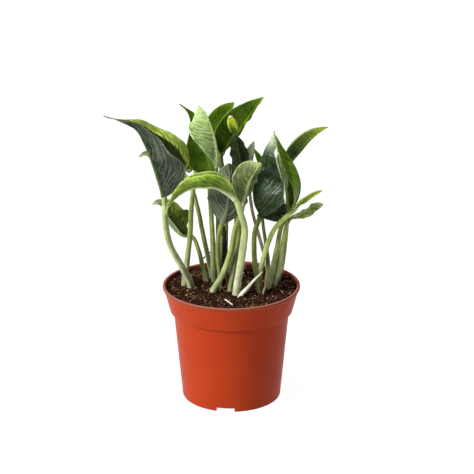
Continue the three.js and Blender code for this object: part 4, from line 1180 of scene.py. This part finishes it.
# %% Stalks
STALK_INTO_BLADE, STALK_TOP_SHARE = 2.5, 0.92
STALK_LOOKS = {
    "arching": "pale", "big_left": "pale", "teal_cup": "dark", "spiky": "dark", "bright_new": "fresh",
    "small_pale": "flushed", "twisted": "dark", "far_right": "mid",
}
for seed, (name, leaf) in enumerate(LEAVES.items()):
    route = sunk_route(leaf["stalk"] + leaf["midrib"])
    end = route.marks[len(leaf["stalk"]) + 1] + STALK_INTO_BLADE
    foot, top = leaf["thick"]
    sizes = {"Foot radius": foot * MM, "Top radius": top * STALK_TOP_SHARE * MM, "Foot swell": 1.12,
             "Groove": 0.22, "Rib": 0.025, "Bark height": 0.12 * MM, "Bark size": 260.0,
             "Seed": seed * 1.7}
    skin = STALK_SKINS[STALK_LOOKS.get(name, "mid")]
    stalk = swept_piece("stem_" + name, route, 0, end, sizes, skin, ["stalk_" + name])
print("stalks:", len(LEAVES), "each of", len(stalk.data.polygons), "faces or so")

# %% [markdown]
# ## The rolled new leaf
# A new blade comes up rolled into a spindle, with its margin lapped over and its mouth open to the
# front. A tube of rings makes it, with the front pressed in between two raised lips.

# %% New leaf
BUD_STALK = [[-1, 12, 89], [3, 10, 122], [4, 8, 154], [5, 4, 182]]
BUD_AXIS = [[3, -3, 210], [2.2, -4, 213], [0.6, -4.5, 218], [-0.7, -5, 223.5]]
BUD_THICK, BUD_RADIUS, BUD_TIP, BUD_FULLNESS = (1.8, 1.2), 3.9, 0.8, 0.7
BUD_RINGS, BUD_SIDES, MOUTH_DEPTH, MOUTH_WIDTH = 60, 64, 0.5, 0.75
LIP_AT, LIP_WIDTH, LIP_RISE = MOUTH_WIDTH * 1.3, 0.22, 0.06
BUD_FROM, BUD_SPAN = 0.06, 0.93

bud_route = sunk_route(BUD_STALK + BUD_AXIS)
bud_start = bud_route.marks[len(BUD_STALK) + 1]
u = np.linspace(0, 1, BUD_RINGS + 1)
place, _, side, front = bud_route.frames(bud_start + (bud_route.length - bud_start) * u)
swell = np.sin(math.pi * (BUD_FROM + BUD_SPAN * u)) ** BUD_FULLNESS
bud_radius = BUD_TIP + (BUD_RADIUS - BUD_TIP) * swell
angle = np.linspace(0, 2 * math.pi, BUD_SIDES, endpoint=False)[None, :]
from_front = np.abs((angle - math.pi / 2 + math.pi) % (2 * math.pi) - math.pi)
opening = eased(u, 0.2, 0.12)[:, None]
mouth = np.exp(-(from_front / MOUTH_WIDTH) ** 4) * opening
lip = np.exp(-((from_front - LIP_AT) / LIP_WIDTH) ** 2) * opening
radius = bud_radius[:, None] * (1 - MOUTH_DEPTH * mouth + LIP_RISE * lip)
bud_points = (place[:, None] + side[:, None] * (radius * np.cos(angle))[:, :, None]
              + front[:, None] * (radius * np.sin(angle))[:, :, None]).reshape(-1, 3)
index = np.arange(len(bud_points)).reshape(BUD_RINGS + 1, BUD_SIDES)
beside = np.roll(index, -1, axis=1)
bud_faces = np.stack([index[:-1], beside[:-1], beside[1:], index[1:]], axis=2).reshape(-1, 4).tolist()
bud_faces += [index[0, ::-1].tolist(), index[-1].tolist()]
bud_skin = leaf_skin("leaf_skin_rolled", "4a6408", "b0c032", "324a06", "c8d480", "e6cdb4", "b8c850",
                     roughness=0.3, streak=0.35, vein_share=0.9, tip_from=0.92, grain=0.2)
# Painted shade: the vein mark darkens the rolled leaf's lower part and the flanks of its mouth, in its
# dark vein colour.
shadow = np.clip(0.7 + 0.4 * mouth, 0, 1) * np.clip(1.1 - 1.6 * u, 0, 1)[:, None]
bud_marks = {"along": u[:, None] * np.ones_like(mouth), "vein": shadow, "rib": mouth * 0,
             "rim": np.clip(lip, 0, 1) * 0.3, "shade": np.ones_like(mouth)}
bud_uv = np.stack([angle * 3 * np.ones_like(mouth), u[:, None] * 2 * np.ones_like(mouth)], axis=2)
new_piece("rolled_new_leaf", bud_points, bud_faces, [bud_skin], ["new_leaf_roll"],
          marks={k: v.ravel() for k, v in bud_marks.items()}, uv=bud_uv.reshape(-1, 2))
swept_piece("stem_new_leaf", bud_route, 0, bud_start + 1, {
    "Foot radius": BUD_THICK[0] * MM, "Top radius": BUD_THICK[1] * MM, "Foot swell": 1.1,
    "Groove": 0.2, "Rib": 0.02, "Bark height": 0.1 * MM}, STALK_SKINS["mid"],
    ["stalk_new_leaf"])
print("new leaf:", len(bud_faces), "faces")

# %% [markdown]
# ## Sheaths, dried stem and twig
# Where a stalk leaves the stem it is wrapped in a sheath, which later dries to a pale papery strip.
# One brown dead stem with knobbly nodes and one thin dark twig also stand in the soil. All follow
# routes, so the same tree makes them, with more bark height on the dead wood.

# %% Sheath paper and dead wood
def dry_skin(name, dark, light, size_mm, roughness):
    """Dry tissue: two tones by noise, with a rough skin of the same size."""
    material, tree, shader = new_material(name, roughness, 1.4, 0.2)
    fleck = noise_at(tree, object_spot(tree), size_mm, 6, 0.7)
    dress(tree, shader, mixed(tree, remap(tree, fleck, 0.36, 0.66), dark, light), fleck, 0.7, 0.5)
    return material


STUBS = {
    "sheath_front": ([[7, -23.5, 89], [12, -23, 95], [17.5, -22, 101.5], [23.4, -21, 107.5]], 2.9, 0.5,
                     {"Groove": 0.45},
                     stalk_skin("sheath_skin_front", "dde4c2", "eef0de", "c8d8a0", "b4c48c", 0.6),
                     "sheath_pale"),
    "sheath_left": ([[-9, -12, 89], [-8, -9, 95], [-6, -5, 101]], 1.6, 0.5, {"Groove": 0.45},
                    stalk_skin("sheath_skin_left", "a9b884", "c3d09c", "a9bf86", "8fa468", 0.6),
                    "sheath_pale"),
    "sheath_right": ([[24, -17, 89], [26, -16, 95], [27, -14, 103]], 1.6, 0.5, {"Groove": 0.45},
                     stalk_skin("sheath_skin_right", "a9a57c", "d9c09a", "a98a6c", "c7ab86", 0.6),
                     "sheath_pale"),
    "dried_stem": ([[-2, 3, 89], [-5, 3, 100], [-5, 4, 112], [-6, 5, 134]], 1.1, 0.8,
                   {"Bark height": 1.6 * MM, "Bark size": 380.0},
                   dry_skin("dead_wood", "15110a", "54462c", 1.8, 0.85), "dried_wood"),
    "dark_twig": ([[-25, 35, 89], [-23.4, 34.6, 96], [-14, 33, 106]], 0.5, 0.35,
                  {"Bark height": 0.2 * MM, "Bark size": 500.0},
                  dry_skin("twig_bark", "140d0a", "3a2a22", 1.2, 0.8), "dried_wood"),
}
for name, (points, foot, top, extra, skin, slot) in STUBS.items():
    route = sunk_route(points)
    sizes = {"Foot radius": foot * MM, "Top radius": top * MM, "Seed": float(len(name)), **extra}
    swept_piece(name + "_piece", route, 0, route.length, sizes, skin, [name])
print("stubs:", sorted(STUBS))

# %% [markdown]
# ## Loose crumbs on the soil
# The top of the mix is a litter of bark chips, coir fibre and perlite. They repeat by the hundred
# at random places and sizes, which is what Geometry Nodes do best. One tree scatters a small lump over
# the soil's top, with the lump's proportions as an input, and it runs once for each kind.

# %% Crumb tree
scatter, scatter_keys, given, scatter_out = new_tree("crumbs_on_soil", {
    "Per square metre": "Float", "Seed": "Int", "Lump": "Vector", "Least scale": "Float",
    "Most scale": "Float", "Sink": "Float", "Material": "Material"})
seed = given["Seed"]
spots = add(scatter, "GeometryNodeDistributePointsOnFaces", {
    "Mesh": given["Geometry"], "Density": given["Per square metre"], "Seed": seed})
ball = add(scatter, "GeometryNodeMeshIcoSphere", {"Radius": 0.5, "Subdivisions": 1})
shaped = add(scatter, "GeometryNodeTransform", {"Geometry": ball, "Scale": given["Lump"]})
spin = add(scatter, "FunctionNodeRandomValue", {0: (-0.5, -0.5, 0.0), 1: (0.5, 0.5, 6.28),
                                                "Seed": seed}, data_type="FLOAT_VECTOR")
grow = add(scatter, "FunctionNodeRandomValue", {2: given["Least scale"], 3: given["Most scale"],
                                                "Seed": seed}, data_type="FLOAT")
strewn = add(scatter, "GeometryNodeInstanceOnPoints", {
    "Points": spots, "Instance": shaped, "Rotation": spin, "Scale": grow.outputs[1]})
chance = add(scatter, "FunctionNodeRandomValue", {2: 0.0, 3: 1.0, "Seed": 5}, data_type="FLOAT")
tinted = stored(scatter, strewn, "tint", chance.outputs[1], "INSTANCE")
loose = add(scatter, "GeometryNodeRealizeInstances", {"Geometry": tinted})
where = add(scatter, "GeometryNodeInputPosition")
jag = add(scatter, "ShaderNodeTexNoise", {"Vector": where, "Scale": 900.0, "Detail": 1.0})
centred = add(scatter, "ShaderNodeVectorMath", {0: jag.outputs["Color"], 1: (0.5, 0.5, 0.5)},
              operation="SUBTRACT")
down = add(scatter, "ShaderNodeCombineXYZ", {"Z": given["Sink"]})
moved = add(scatter, "ShaderNodeVectorMath", {0: scaled(scatter, centred, 1.3 * MM), 1: down},
            operation="ADD")
broken = add(scatter, "GeometryNodeSetPosition", {"Geometry": loose, "Offset": moved})
painted = add(scatter, "GeometryNodeSetMaterial", {"Geometry": broken, "Material": given["Material"]})
scatter.links.new(first(painted), scatter_out.inputs["Geometry"])
print("crumb tree:", len(scatter.nodes), "nodes")


# %% [markdown]
# Each kind has its number to the square metre, its seed, the sides of a lump in mm, the least and
# most it is scaled, how deep it sinks in mm, and its shades. They lie on the soil's top faces only.

# %% Crumb finish and kinds
def crumb_skin(name, *shades):
    """Dry crumbs in a few shades: each crumb's own tint picks one."""
    material, tree, shader = new_material(name, 0.9, 1.4, 0.2)
    stops = [(k / (len(shades) - 1), shade) for k, shade in enumerate(shades)]
    picked = ramp(tree, carried(tree, "tint"), *stops)
    value = remap(tree, noise_at(tree, object_spot(tree), 0.8, 4), 0.3, 0.7, 0.55, 1.3)
    tree.links.new(first(toned(tree, picked, value)), shader.inputs["Base Color"])
    return material


CRUMBS = {
    "bark_chips": (130000, 11, (2.6, 1.7, 1.1), 0.5, 1.25, 0.1,
                   crumb_skin("bark_chips_skin", "140b06", "452b1d", "24150d", "66422c", "9a7650")),
    "peat_grains": (330000, 23, (1.2, 1.0, 0.8), 0.5, 1.3, 0.1,
                    crumb_skin("peat_skin", "0d0704", "351e15", "180e08", "5a3929")),
    "coir_fibres": (24000, 37, (5.2, 0.35, 0.3), 0.5, 1.2, 0.5,
                    crumb_skin("coir_skin", "5a3b26", "8f6a48", "3b2618", "b89a72")),
    "perlite": (9000, 41, (1.5, 1.2, 1.0), 0.4, 1.1, 0.3,
                crumb_skin("perlite_skin", "cdbfa8", "e6dccb", "a98f78")),
}
TOP_DEPTH = 2.5
top_faces = [f for f in soil_faces if all(soil_points[i][2] > SOIL_LEVEL - TOP_DEPTH for i in f)]
used = sorted({i for f in top_faces for i in f})
renumber = {old: new for new, old in enumerate(used)}
bed_points = [soil_points[i] for i in used]
bed_faces = [[renumber[i] for i in f] for f in top_faces]
for name, (density, seed, lump, least, most, sink, skin) in CRUMBS.items():
    bed = placed(name + "_bed", mesh_of(name + "_bed", bed_points, bed_faces))
    values = {"Per square metre": float(density), "Seed": seed, "Lump": [c * MM for c in lump],
              "Least scale": least, "Most scale": most, "Sink": sink * MM, "Material": skin}
    litter = settle(grown(bed, scatter, scatter_keys, values, name), [])
    print(name, len(litter.data.polygons), "faces")

# %% [markdown]
# A pale splinter lies on the soil in front of the arching leaf's stalk. It is a thin flattened
# strip that follows its own short route.

# %% Splinter
splinter_route = Route([[-4.5, -31.5, 89.3], [-2, -35.5, 88.9], [1, -40, 88.5]])
swept_piece("pale_splinter", splinter_route, 0, splinter_route.length,
            {"Foot radius": 0.55 * MM, "Top radius": 0.35 * MM, "Bark height": 0.2 * MM, "Sides": 8},
            crumb_skin("splinter_skin", "e9e4d6", "f4f0e6"), [])
